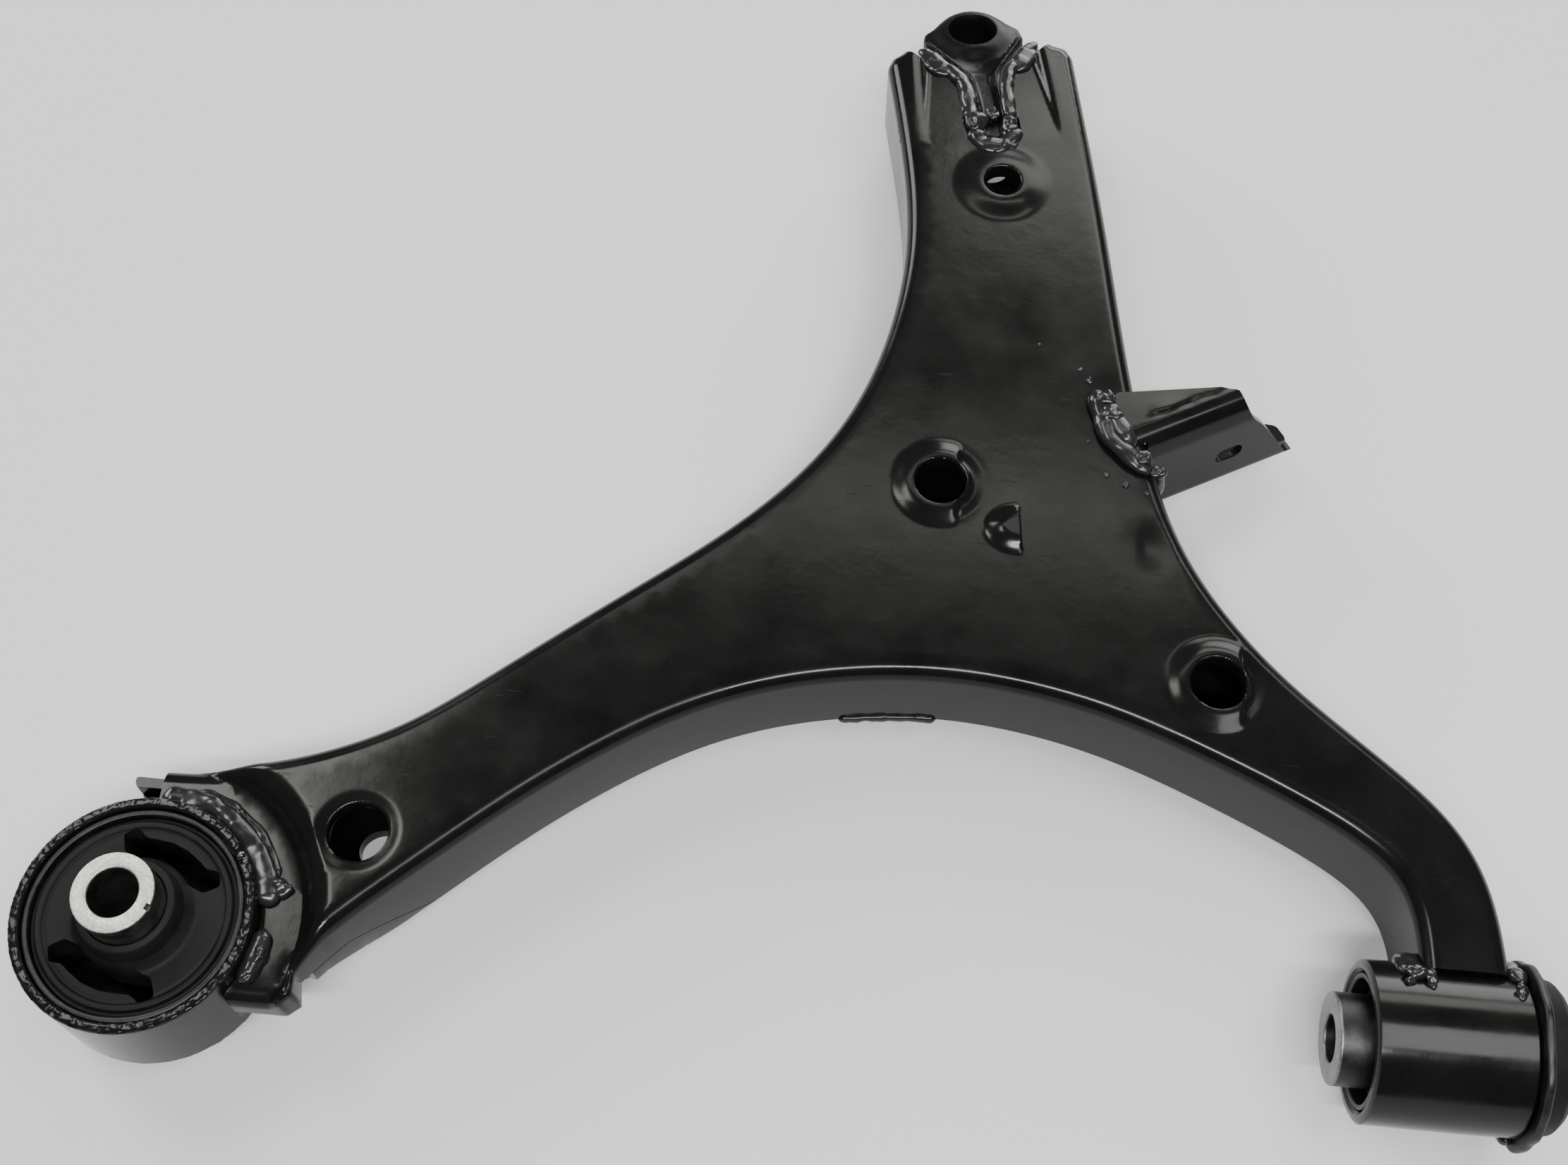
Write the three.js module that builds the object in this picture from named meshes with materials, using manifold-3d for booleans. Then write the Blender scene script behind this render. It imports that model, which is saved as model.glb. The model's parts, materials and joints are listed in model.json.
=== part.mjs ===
// Stamped lower control arm of a car's front suspension, in millimetres, +Z up.
//
// Working frame: the origin is on the rear bush's axis at half the height of the arm, +X runs along the
// swing axis to the front bush, +Y runs outward to the ball joint. At the end the whole arm is moved so
// that the middle of its box's underside is at the origin.

import * as THREE from 'three';
import { mergeVertices } from 'three/addons/utils/BufferGeometryUtils.js';
import Module from 'manifold-3d';

// ---------------------------------------------------------------- driving dimensions
const GAP = 0.3;                  // clearance drawn between pieces that touch
const BUSH_SPACING = 364.5;       // rear bush axis to the middle of the front bush
const SHEET = 3;                  // sheet of both shells
const SKIN_HEIGHT = 18;           // half the height of the box that the shells make
const SEAM_HEIGHT = -13.5;        // where the upper shell's wall ends and the lower shell's begins
const SHELL_FILLET = 4;           // outer radius between a shell's skin and its wall
const NECK_SEAM_HEIGHT = -4;      // the seam climbs to this height beside the ring
const NECK_SEAM_NEAR = 58;
const NECK_SEAM_FAR = 80;

const RING_RADIUS = 34.25;        // rear bush housing
const RING_WALL = 3;
const RING_HALF_HEIGHT = 16.7;
const LAND_HEIGHT = 10.5;         // the shells step in to this height around the ring
const LAND_RADIUS = 46;
const STEP_RADIUS = 54.5;         // where the step down to the land begins

const REAR_SHELL_WALL = 1.7;      // steel outer sleeve of the rear bush
const REAR_SHELL_HALF = 15.5;
const REAR_RUBBER_HALF = 14.5;
const REAR_BORE = 7.1;            // for an M14 bolt
const REAR_SLEEVE_RADIUS = 11.4;
const REAR_SLEEVE_TOP = 33.9;
const REAR_SLEEVE_BOTTOM = -27.1;
const HUB_RADIUS = 16;            // rubber hub round the rear sleeve
const HUB_RISE = 9;               // how far the hub climbs the sleeve
const VOID_INNER = 16.4;          // the two kidney-shaped voids in the rear rubber
const VOID_OUTER = 23;
const VOID_BULB = 3;
const VOIDS = [[32, 104], [-146, -70]];

const COLLAR_RADIUS = 22.6;       // front bush housing
const COLLAR_WALL = 3.5;
const COLLAR_HALF = 21.5;
const FRONT_SHELL_WALL = 1.6;     // steel outer sleeve of the front bush
const FLANGE_RADIUS = 26.5;
const FLANGE_THICKNESS = 2.4;
const BUMPER_RADIUS = 21;         // rubber face that the flange carries
const BUMPER_THICKNESS = 7.5;
const FRONT_RECESS = 6;           // the rubber lies this deep in the collar's open end
const FRONT_BORE = 6.7;
const FRONT_SLEEVE_RADIUS = 12.9;
const FRONT_SLEEVE_PROUD = 7.7;   // sleeve standing out of the collar's open end

const SEAT_CENTRE = [218.3, 355.5, 9];   // middle of the ball joint hole's mouth
const SEAT_TURN = 10;             // degrees about Z that the outer arm leans
const SEAT_TILT = 10;             // degrees that the hole's axis leans outward
const SEAT_BOSS_RADIUS = 12;
const SEAT_DEPTH = 20;
const SEAT_WEB_DEPTH = 12;
const SEAT_HOLE_TOP = 8;          // taper for the ball joint's stud
const SEAT_HOLE_BOTTOM = 6.6;
const TAIL_HALF = 4.8;            // half the width of the seat's tail
const TAIL_END = -54;
const NOTCH_HALF = 9.5;           // half the width of the slot in the skin that takes the tail

const BRACKET_CORNER = [290.9, 178.5];   // foot of the bracket's wall beside the arm
const BRACKET_ANGLE = 29;         // degrees between the bracket's wall and the swing axis
const SLOT = { along: 23.6, height: -2.5, length: 10, width: 6 };

// Pressed holes through the upper skin, and those through the lower one.
const HOLES = [
  { x: 58.4, y: 29, radius: 8.6 },
  { x: 217, y: 159.2, radius: 7.9 },
  { x: 302.2, y: 97.3, radius: 8.1 },
  { x: 231.5, y: 280.4, radius: 6 },
];
const LOWER_HOLES = [
  { x: 59, y: 34, radius: 6.7 },
  { x: 217, y: 159.2, radius: 5 },
  { x: 302.2, y: 97.3, radius: 5 },
  { x: 231.5, y: 280.4, radius: 5 },
  { x: 229, y: 313, radius: 6.5 },                        // the drain, behind the tip
];

const ROUND = 36;                 // facets round a large turned piece
const SMALL_ROUND = 20;
const FAR = 100;                  // reach of a cutter that only has to pass right through

// ---------------------------------------------------------------- materials
const MATERIALS = {
  paint: new THREE.MeshStandardMaterial({ color: 0x0d0e0f, roughness: 0.22, metalness: 0 }),
  weld: new THREE.MeshStandardMaterial({ color: 0x2a2a2a, roughness: 0.35, metalness: 0.3 }),
  rubber: new THREE.MeshStandardMaterial({ color: 0x2b2c2e, roughness: 0.8, metalness: 0 }),
  steel: new THREE.MeshStandardMaterial({ color: 0xc9c7c2, roughness: 0.35, metalness: 0.9 }),
  darkSteel: new THREE.MeshStandardMaterial({ color: 0x55575a, roughness: 0.45, metalness: 0.8 }),
};

// ---------------------------------------------------------------- solids and placing
const wasm = await Module();
wasm.setup();

/** A closed geometry as a solid that can be joined and cut. */
function solid(geometry) {
  const bare = geometry.clone();
  bare.deleteAttribute('normal');
  bare.deleteAttribute('uv');
  const merged = mergeVertices(bare, 1e-4);
  return new wasm.Manifold(new wasm.Mesh({
    numProp: 3,
    vertProperties: new Float32Array(merged.getAttribute('position').array),
    triVerts: new Uint32Array(merged.index.array),
  }));
}

/** The named mesh of a solid, for the scene graph. */
function piece(name, material, body) {
  const mesh = body.getMesh();
  const geometry = new THREE.BufferGeometry();
  geometry.setAttribute('position', new THREE.BufferAttribute(new Float32Array(mesh.vertProperties), 3));
  geometry.setIndex(new THREE.BufferAttribute(new Uint32Array(mesh.triVerts), 1));
  geometry.computeVertexNormals();
  const result = new THREE.Mesh(geometry, MATERIALS[material]);
  result.name = name;
  return result;
}

const degrees = THREE.MathUtils.degToRad;

/** Lays a piece drawn about Z along the swing axis, its top toward the front. */
function onSwingAxis(geometry) {
  return geometry.rotateY(Math.PI / 2).translate(BUSH_SPACING, 0, 0);
}

/** Places a piece drawn about the ball joint hole, its +Y outward along the leaning outer arm. */
function atSeat(geometry, tilt = 0) {
  return geometry.rotateX(-degrees(tilt)).rotateZ(degrees(SEAT_TURN)).translate(...SEAT_CENTRE);
}

/** Places a piece drawn at the bracket's foot, its +X outward along the bracket's wall. */
function atBracket(geometry) {
  return geometry.rotateZ(degrees(BRACKET_ANGLE)).translate(...BRACKET_CORNER, 0);
}

// ---------------------------------------------------------------- shapes
/** A turned geometry about Z through a closed profile of [radius, height] points. */
function turned(profile, facets = ROUND) {
  const points = profile.map(([r, z]) => new THREE.Vector2(r, z));
  if (THREE.ShapeUtils.area(points) < 0) points.reverse();
  points.push(points[0]);
  return new THREE.LatheGeometry(points, facets).rotateX(Math.PI / 2);
}

/** A plain tube about Z. */
function tube(inner, outer, bottom, top, facets = ROUND) {
  return turned([[inner, bottom], [outer, bottom], [outer, top], [inner, top]], facets);
}

/** A cylinder about Z. */
function cylinder(radius, bottom, top, facets = ROUND) {
  return new THREE.CylinderGeometry(radius, radius, top - bottom, facets)
    .rotateX(Math.PI / 2).translate(0, 0, (top + bottom) / 2);
}

/** A block between two corners. */
function block([x0, y0, z0], [x1, y1, z1]) {
  return new THREE.BoxGeometry(x1 - x0, y1 - y0, z1 - z0)
    .translate((x0 + x1) / 2, (y0 + y1) / 2, (z0 + z1) / 2);
}

/** The points of straight runs and smooth curves as one closed outline. */
function outlineOf(...runs) {
  const points = [];
  for (const point of runs.flat()) {
    const last = points.at(-1);
    if (!last || last.distanceTo(point) > 0.05) points.push(point);
  }
  return new THREE.Shape(points);
}

/** Corners joined by straight lines. */
function straight(...corners) {
  return corners.map(([x, y]) => new THREE.Vector2(x, y));
}

/** A smooth curve through a few points. */
function smooth(points, divisions) {
  return new THREE.SplineCurve(straight(...points)).getPoints(divisions);
}

/** An arc about (x, y). */
function arc(x, y, radius, from, to, divisions = 8) {
  return Array.from({ length: divisions + 1 }, (_, i) => {
    const angle = degrees(from + (to - from) * i / divisions);
    return new THREE.Vector2(x + radius * Math.cos(angle), y + radius * Math.sin(angle));
  });
}

/** An outline pulled up from bottom to top, drawn in by inset, its ends rounded by fillet. */
function prism(outline, bottom, top, { inset = 0, fillet = 0 } = {}) {
  return new THREE.ExtrudeGeometry(outline, {
    depth: top - bottom - 2 * fillet,
    bevelEnabled: fillet > 0 || inset !== 0,
    bevelThickness: fillet,
    bevelSize: fillet,
    bevelOffset: -fillet - inset,
    bevelSegments: fillet > 0 ? 3 : 0,
  }).translate(0, 0, bottom + fillet);
}

/** A round-section bead along a smooth curve through [x, y, z] points. */
function bead(points, radius, steps = 10) {
  const section = new THREE.Shape(arc(0, 0, radius, 0, 300, 5));
  const extrudePath = new THREE.CatmullRomCurve3(points.map((p) => new THREE.Vector3(...p)));
  return new THREE.ExtrudeGeometry(section, { steps, extrudePath, bevelEnabled: false });
}

/** The middle line of a bead that runs round a piece turned about Z. */
function round(radius, height, from, to, count = 9) {
  return arc(0, 0, radius, from, to, count - 1).map(({ x, y }) => [x, y, height]);
}

// ---------------------------------------------------------------- shells
const LEFT_EDGE = [[18, 46.5], [34, 50], [50, 56.5], [66, 64.8], [88, 83.3], [116, 107.3],
  [146, 132.4], [166, 152.3], [181.5, 173.5], [192.5, 198.5], [198.7, 226], [200.8, 252],
  [198.2, 283], [189, 331]];
const RIGHT_EDGE = [[254.5, 341], [266, 275], [275, 214], [281.5, 180], [294, 141], [318.5, 107],
  [348.5, 81], [370, 62], [379.5, 42], [381.8, 17]];
const REAR_EDGE = [[357.3, 37], [355, 43.5], [349.5, 48.5], [323.5, 63.3], [281, 82], [252, 90],
  [220, 93.2], [183, 88.7], [148, 76], [110, 50], [75, 18.5], [55, -0.5], [47, -11]];

/** The plan outline of the box, which both shells share. */
const ARM_OUTLINE = outlineOf(
  straight([-3, 46]),
  smooth(LEFT_EDGE, 36),
  straight([190, 335], [193.5, 338], [247, 346.5], [252, 345]),
  smooth(RIGHT_EDGE, 28),
  straight([357.3, 17]),
  smooth(REAR_EDGE, 36),
  straight([48.5, -18], [45, -21], [30, -21], [-3, 20]),
);

/** A solid of the box from its skin to far past the mid plane; side is 1 for the top, -1 for below. */
function boxHalf(side, skin, options) {
  const ends = [side * skin, -side * FAR].sort((a, b) => a - b);
  return solid(prism(ARM_OUTLINE, ...ends, options));
}

/** What a skin loses to the step round the ring, drop lower for the inside of the sheet. */
function landCutter(side, drop) {
  const profile = [[0, LAND_HEIGHT - drop], [LAND_RADIUS, LAND_HEIGHT - drop],
    [STEP_RADIUS, SKIN_HEIGHT - drop], [STEP_RADIUS, FAR], [0, FAR]];
  return solid(turned(profile.map(([r, z]) => [r, side * z])));
}

/** The open mouth in the tip of a skin that the ball joint seat's tail lies in. */
function seatNotch() {
  const mouth = outlineOf(
    straight([-21, -8], [-21, -16], [-NOTCH_HALF, -27]),
    arc(0, TAIL_END, NOTCH_HALF, 180, 360, 12),
    straight([NOTCH_HALF, -27], [21, -16], [21, -8]),
  );
  return solid(atSeat(prism(mouth, -4, FAR)));
}

/** Everything below the seam, which climbs beside the ring; drop lowers it for the gap at the seam. */
function belowSeam(drop) {
  const climb = turned([[0, -FAR], [NECK_SEAM_FAR, -FAR], [NECK_SEAM_FAR, SEAM_HEIGHT - drop],
    [NECK_SEAM_NEAR, NECK_SEAM_HEIGHT - drop], [0, NECK_SEAM_HEIGHT - drop]]);
  return solid(block([-FAR, -FAR, -FAR], [6 * FAR, 6 * FAR, SEAM_HEIGHT - drop])).add(solid(climb));
}

/** A tray of sheet metal whose skin is the top (side 1) or the bottom (side -1) of the box. */
function tray(side) {
  const slantedSheet = SHEET * 1.15;
  const inside = boxHalf(side, SKIN_HEIGHT - SHEET, { inset: SHEET, fillet: SHELL_FILLET - SHEET })
    .subtract(landCutter(side, slantedSheet));
  const wall = boxHalf(side, SKIN_HEIGHT, { fillet: SHELL_FILLET });
  const cut = side > 0 ? wall.subtract(belowSeam(0)) : wall.intersect(belowSeam(GAP));
  return cut
    .subtract(landCutter(side, 0))
    .subtract(inside)
    .subtract(solid(cylinder(RING_RADIUS + GAP, -FAR, FAR, 2 * ROUND)))
    .subtract(solid(onSwingAxis(cylinder(COLLAR_RADIUS + GAP, -FAR, FAR, 2 * ROUND))))
    .subtract(solid(atSeat(block([-24, -22, -SEAT_DEPTH - 3], [24, 20, SEAT_BOSS_RADIUS]))));
}

function drilled(shell, holes) {
  return holes.reduce((body, { x, y, radius, bottom, top }) => (
    body.subtract(solid(cylinder(radius, bottom, top, SMALL_ROUND).translate(x, y, 0)))), shell);
}

function upperShell() {
  const holes = HOLES.map((hole) => ({ ...hole, bottom: 0, top: FAR }));
  return drilled(tray(1).subtract(seatNotch()), holes);
}

function lowerShell() {
  const holes = LOWER_HOLES.map((hole) => ({ ...hole, bottom: -FAR, top: 0 }));
  return drilled(tray(-1), holes);
}

// ---------------------------------------------------------------- ball joint seat
/** Forged boss with the tapered hole, two ears and a tail that lies in the upper shell's notch. */
function ballJointSeat() {
  const boss = turned([[SEAT_HOLE_BOTTOM, -SEAT_DEPTH], [SEAT_BOSS_RADIUS, -SEAT_DEPTH],
    [SEAT_BOSS_RADIUS, -1], [SEAT_BOSS_RADIUS - 1, 0], [SEAT_HOLE_TOP + 1.2, 0],
    [SEAT_HOLE_TOP, -1.5]], ROUND);
  const web = outlineOf(
    straight([-10, 6.5], [-15, 4], [-17.7, 0], [-17, -8], [-TAIL_HALF, -24]),
    arc(0, TAIL_END, TAIL_HALF, 180, 360, 8),
    straight([TAIL_HALF, -24], [17, -8], [17.7, 0], [15, 4], [10, 6.5]),
  );
  const hole = cylinder(SEAT_BOSS_RADIUS - 1.5, -SEAT_DEPTH - 5, 5);
  const rim = (side) => {
    const outline = outlineOf(straight([side * 16.8, -6.5], [side * 16.8, -8], [side * TAIL_HALF, -24],
      [side * TAIL_HALF, -50], [side * (TAIL_HALF - 1.6), -50], [side * (TAIL_HALF - 1.6), -23]));
    return solid(atSeat(prism(outline, -1, 1.6), SEAT_TILT));
  };
  return solid(atSeat(prism(web, -SEAT_WEB_DEPTH, 0), SEAT_TILT))
    .subtract(solid(atSeat(hole, SEAT_TILT)))
    .add(solid(atSeat(boss, SEAT_TILT)))
    .add(rim(-1))
    .add(rim(1));
}

// ---------------------------------------------------------------- side bracket
/** Folded bracket on the arm's front edge: flange on the skin, slotted wall, return flange below. */
function sideBracket() {
  const section = outlineOf(straight([10, -17.2], [1.6, -17.2], [0, -15.6], [3, 12], [4.5, 16.5],
    [7.2, 19.5], [10.5, 20.5], [40, 20.5], [40, 18.3], [10.9, 18.3], [8.6, 17.5], [6.7, 15.3],
    [5.4, 11.8], [2.5, -14.9], [10, -14.9]));
  const sheet = prism(section, -25, 60);
  sheet.applyMatrix4(new THREE.Matrix4().makeBasis(
    new THREE.Vector3(0, 1, 0), new THREE.Vector3(0, 0, 1), new THREE.Vector3(1, 0, 0)));
  const acrossWall = new THREE.Matrix4().makeBasis(
    new THREE.Vector3(1, 0, 0), new THREE.Vector3(0, 0, 1), new THREE.Vector3(0, -1, 0));
  const freeEnd = outlineOf(
    straight([80, -40], [80, 40], [27.5, 40], [27.5, 20.5]),
    smooth([[28.6, 16.5], [31, 11.5], [35.5, 5.5], [40.5, -3], [48.3, -16.5]], 10),
    straight([48.3, -40]),
  );
  const beyondEnd = prism(freeEnd, -60, 60).applyMatrix4(acrossWall);
  const half = (SLOT.length - SLOT.width) / 2;
  const slot = prism(outlineOf(
    arc(SLOT.along + half, SLOT.height, SLOT.width / 2, -90, 90),
    arc(SLOT.along - half, SLOT.height, SLOT.width / 2, 90, 270),
  ), -8, 8).applyMatrix4(acrossWall);
  const aroundFlange = outlineOf(straight([-60, -20], [-10.9, -20], [-10.9, 0], [-13, 15.7],
    [-8.2, 27.4], [25.1, 15.2], [27.6, 12.5], [60, 12.5], [60, 60], [-60, 60]));
  const arm = prism(ARM_OUTLINE, -SKIN_HEIGHT - 5, SKIN_HEIGHT + 0.1, { inset: -GAP });
  return solid(atBracket(sheet))
    .subtract(solid(atBracket(beyondEnd)))
    .subtract(solid(atBracket(slot)))
    .subtract(solid(atBracket(prism(aroundFlange, 12, FAR))))
    .subtract(solid(arm));
}

// ---------------------------------------------------------------- rear bush
function rearRing() {
  return solid(tube(RING_RADIUS - RING_WALL, RING_RADIUS, -RING_HALF_HEIGHT, RING_HALF_HEIGHT));
}

function rearOuterSleeve() {
  const outer = RING_RADIUS - RING_WALL - GAP;
  return solid(tube(outer - REAR_SHELL_WALL, outer, -REAR_SHELL_HALF, REAR_SHELL_HALF));
}

/** One kidney-shaped void: an annular slot with a bulb at each end. */
function kidney([from, to]) {
  const bulbRadius = VOID_OUTER - VOID_BULB;
  const slot = outlineOf(arc(0, 0, VOID_OUTER, from, to, 10), arc(0, 0, VOID_INNER, to, from, 10));
  return [from, to].reduce((body, angle) => {
    const [place] = arc(0, 0, bulbRadius, angle, angle, 1);
    return body.add(solid(cylinder(VOID_BULB, -FAR, FAR, 14).translate(place.x, place.y, 0)));
  }, solid(prism(slot, -FAR, FAR)));
}

function rearRubber() {
  const outer = RING_RADIUS - RING_WALL - REAR_SHELL_WALL - 2 * GAP;
  const inner = REAR_SLEEVE_RADIUS + GAP;
  const half = REAR_RUBBER_HALF;
  const body = turned([[inner, -half - HUB_RISE / 2], [inner + 1.5, -half - HUB_RISE / 2],
    [HUB_RADIUS, -half], [outer, -half], [outer, half], [HUB_RADIUS, half],
    [inner + 1.5, half + HUB_RISE], [inner, half + HUB_RISE]]);
  return VOIDS.reduce((rubber, angles) => rubber.subtract(kidney(angles)), solid(body));
}

function rearInnerSleeve() {
  return solid(tube(REAR_BORE, REAR_SLEEVE_RADIUS, REAR_SLEEVE_BOTTOM, REAR_SLEEVE_TOP));
}

// ---------------------------------------------------------------- front bush
function frontCollar() {
  return solid(onSwingAxis(tube(COLLAR_RADIUS - COLLAR_WALL, COLLAR_RADIUS, -COLLAR_HALF, COLLAR_HALF)));
}

function frontFlangedSleeve() {
  const outer = COLLAR_RADIUS - COLLAR_WALL - GAP;
  const inner = outer - FRONT_SHELL_WALL;
  const flange = COLLAR_HALF + GAP;
  return solid(onSwingAxis(turned([[inner, -COLLAR_HALF + 0.5], [outer, -COLLAR_HALF + 0.5],
    [outer, flange], [FLANGE_RADIUS, flange], [FLANGE_RADIUS, flange + FLANGE_THICKNESS],
    [inner, flange + FLANGE_THICKNESS]])));
}

const BUMPER_FACE = COLLAR_HALF + FLANGE_THICKNESS + 2 * GAP + BUMPER_THICKNESS;

function frontRubber() {
  const outer = COLLAR_RADIUS - COLLAR_WALL - FRONT_SHELL_WALL - 2 * GAP;
  const inner = FRONT_SLEEVE_RADIUS + GAP;
  const step = COLLAR_HALF + FLANGE_THICKNESS + 2 * GAP;
  return solid(onSwingAxis(turned([[inner, -COLLAR_HALF + FRONT_RECESS],
    [outer, -COLLAR_HALF + FRONT_RECESS], [outer, step], [BUMPER_RADIUS + 1.2, step],
    [BUMPER_RADIUS, BUMPER_FACE - 2], [BUMPER_RADIUS - 2, BUMPER_FACE], [inner, BUMPER_FACE]])));
}

function frontInnerSleeve() {
  return solid(onSwingAxis(tube(FRONT_BORE, FRONT_SLEEVE_RADIUS,
    -COLLAR_HALF - FRONT_SLEEVE_PROUD, BUMPER_FACE + 1)));
}

// ---------------------------------------------------------------- welds
/** Points beside an edge of the box at the seam's height, between two shares of its length. */
function alongSeam(edge, from, to, distance) {
  const curve = new THREE.SplineCurve(straight(...edge));
  return Array.from({ length: 6 }, (_, i) => {
    const share = from + (to - from) * i / 5;
    const point = curve.getPointAt(share);
    const along = curve.getTangentAt(share);
    return [point.x - along.y * distance, point.y + along.x * distance, SEAM_HEIGHT - GAP / 2];
  });
}

/** A bead round the collar beside one wall of the leg. */
function collarBead(x, radius, from, to) {
  const distance = COLLAR_RADIUS + GAP + radius;
  const middle = arc(0, 0, distance, from, to, 5).map(({ x: y, y: z }) => [x, y, z]);
  return solid(bead(middle, radius, 8));
}

/** A bead between the ring and one skin's land. */
function ringBead(side, from, to) {
  const radius = 2.2;
  const height = side * (LAND_HEIGHT + GAP + radius);
  return solid(bead(round(RING_RADIUS + GAP + radius, height, from, to), radius, 16));
}

/** A bead between the seat's web and tail and one side of the notch. */
function seatBead(side) {
  const height = SKIN_HEIGHT - SEAT_CENTRE[2] - 1;
  const places = [[18, -14.5], [12.2, -20], [8, -25.5], [7.2, -33], [7.2, -48]];
  return solid(atSeat(bead(places.map(([x, y]) => [side * x, y, height]), 2, 12)));
}

function seatTailBead() {
  const middle = arc(0, TAIL_END, 7.2, 160, 380, 8).map(({ x, y }) => [x, y, SKIN_HEIGHT - SEAT_CENTRE[2] - 1]);
  return solid(atSeat(bead(middle, 2, 14)));
}

const SEAM_RADIUS = 1.2;
const SEAM_OFFSET = GAP + SEAM_RADIUS;
const welds = {
  weld_ring_upper: () => ringBead(1, 90, 8),
  weld_ring_front: () => ringBead(1, 0, -24),
  weld_ring_under: () => ringBead(-1, 90, -24),
  weld_seat_left: () => seatBead(-1),
  weld_seat_right: () => seatBead(1),
  weld_seat_tail: () => seatTailBead(),
  weld_bracket_flange: () => solid(bead([[265.8, 196, 21], [267, 187.5, 21], [270.2, 180, 21],
    [275, 173.5, 21], [280.5, 168, 21]], 2.7, 12)),
  weld_bracket_wall: () => solid(bead([[287.6, 171.2, -13], [287.6, 171.2, 0], [286.4, 173, 12]], 2, 6)),
  weld_collar_rear: () => collarBead(357.3 - GAP - 2.2, 2.2, 8, 48),
  weld_collar_front: () => collarBead(383.9, 1.6, 8, 48),
  weld_collar_under: () => solid(bead([[360, 14.6, -20.6], [370, 14.6, -20.6], [379, 14.6, -20.6]], 2, 4)),
  weld_flange_tack: () => collarBead(384.6, 1.2, 200, 216),
  weld_seam_rear: () => solid(bead(alongSeam(REAR_EDGE, 0.42, 0.51, SEAM_OFFSET), SEAM_RADIUS)),
  weld_seam_left_inner: () => solid(bead(alongSeam(LEFT_EDGE, 0.24, 0.36, SEAM_OFFSET), SEAM_RADIUS)),
  weld_seam_left_outer: () => solid(bead(alongSeam(LEFT_EDGE, 0.66, 0.78, SEAM_OFFSET), SEAM_RADIUS)),
  weld_seam_front_outer: () => solid(bead(alongSeam(RIGHT_EDGE, 0.2, 0.32, SEAM_OFFSET), SEAM_RADIUS)),
  weld_seam_front_inner: () => solid(bead(alongSeam(RIGHT_EDGE, 0.7, 0.82, SEAM_OFFSET), SEAM_RADIUS)),
};

// ---------------------------------------------------------------- the assembly
const arm = new THREE.Group();
arm.add(
  piece('upper_shell', 'paint', upperShell()),
  piece('lower_shell', 'paint', lowerShell()),
  piece('ball_joint_seat', 'paint', ballJointSeat()),
  piece('side_bracket', 'paint', sideBracket()),
  piece('rear_ring', 'paint', rearRing()),
  piece('rear_bush_outer_sleeve', 'darkSteel', rearOuterSleeve()),
  piece('rear_bush_rubber', 'rubber', rearRubber()),
  piece('rear_bush_inner_sleeve', 'steel', rearInnerSleeve()),
  piece('front_collar', 'paint', frontCollar()),
  piece('front_bush_flanged_sleeve', 'darkSteel', frontFlangedSleeve()),
  piece('front_bush_rubber', 'rubber', frontRubber()),
  piece('front_bush_inner_sleeve', 'darkSteel', frontInnerSleeve()),
);
for (const [name, make] of Object.entries(welds)) arm.add(piece(name, 'weld', make()));

const bounds = new THREE.Box3().setFromObject(arm);
const middle = bounds.getCenter(new THREE.Vector3());
arm.position.set(-middle.x, -middle.y, -bounds.min.z);

export default arm;
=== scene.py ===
"""Looks of a stamped lower control arm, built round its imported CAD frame.

Lengths are millimetres in a working frame: the origin is on the rear bush's axis at half the arm's height, +X
runs along the swing axis to the front bush, +Y outward to the ball joint and +Z up. show() moves each
finished mesh to the row frame, in metres.
"""

import json
import math

import bmesh
import bpy
import numpy as np
from mathutils import Matrix, Vector, kdtree, noise
from mathutils.geometry import delaunay_2d_cdt


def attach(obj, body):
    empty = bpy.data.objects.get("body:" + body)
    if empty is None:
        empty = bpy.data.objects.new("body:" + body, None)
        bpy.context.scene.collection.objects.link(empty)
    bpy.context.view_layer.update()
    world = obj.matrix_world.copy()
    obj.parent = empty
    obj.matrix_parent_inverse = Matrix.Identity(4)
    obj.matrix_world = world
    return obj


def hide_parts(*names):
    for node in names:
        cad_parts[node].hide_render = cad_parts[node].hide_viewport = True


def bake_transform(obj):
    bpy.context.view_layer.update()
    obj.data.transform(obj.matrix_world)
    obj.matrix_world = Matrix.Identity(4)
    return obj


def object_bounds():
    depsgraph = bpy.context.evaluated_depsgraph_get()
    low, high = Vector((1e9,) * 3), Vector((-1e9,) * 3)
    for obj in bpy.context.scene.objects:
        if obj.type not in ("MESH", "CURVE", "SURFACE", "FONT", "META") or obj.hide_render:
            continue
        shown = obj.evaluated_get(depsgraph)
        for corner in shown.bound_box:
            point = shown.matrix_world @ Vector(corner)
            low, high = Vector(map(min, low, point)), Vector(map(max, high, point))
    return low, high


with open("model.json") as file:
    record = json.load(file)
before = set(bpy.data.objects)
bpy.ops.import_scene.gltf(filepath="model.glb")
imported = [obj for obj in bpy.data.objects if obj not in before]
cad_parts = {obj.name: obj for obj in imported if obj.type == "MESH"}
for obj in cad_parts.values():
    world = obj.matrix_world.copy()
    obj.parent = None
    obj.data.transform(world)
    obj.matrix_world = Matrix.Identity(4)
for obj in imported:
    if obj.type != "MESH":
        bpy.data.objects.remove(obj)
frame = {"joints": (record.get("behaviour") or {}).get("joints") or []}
cad_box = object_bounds()

# ---------------- driving dimensions
MM = 0.001
places = {joint["name"]: Vector(joint["pos_m"]) for joint in frame["joints"]}
REAR_BUSH = places["rear_bush_tilt"]
BUSH_SPACING = (places["front_bush_twist"] - REAR_BUSH).x / MM
TO_ROW = Matrix.Translation(REAR_BUSH) @ Matrix.Scale(MM, 4)

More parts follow.
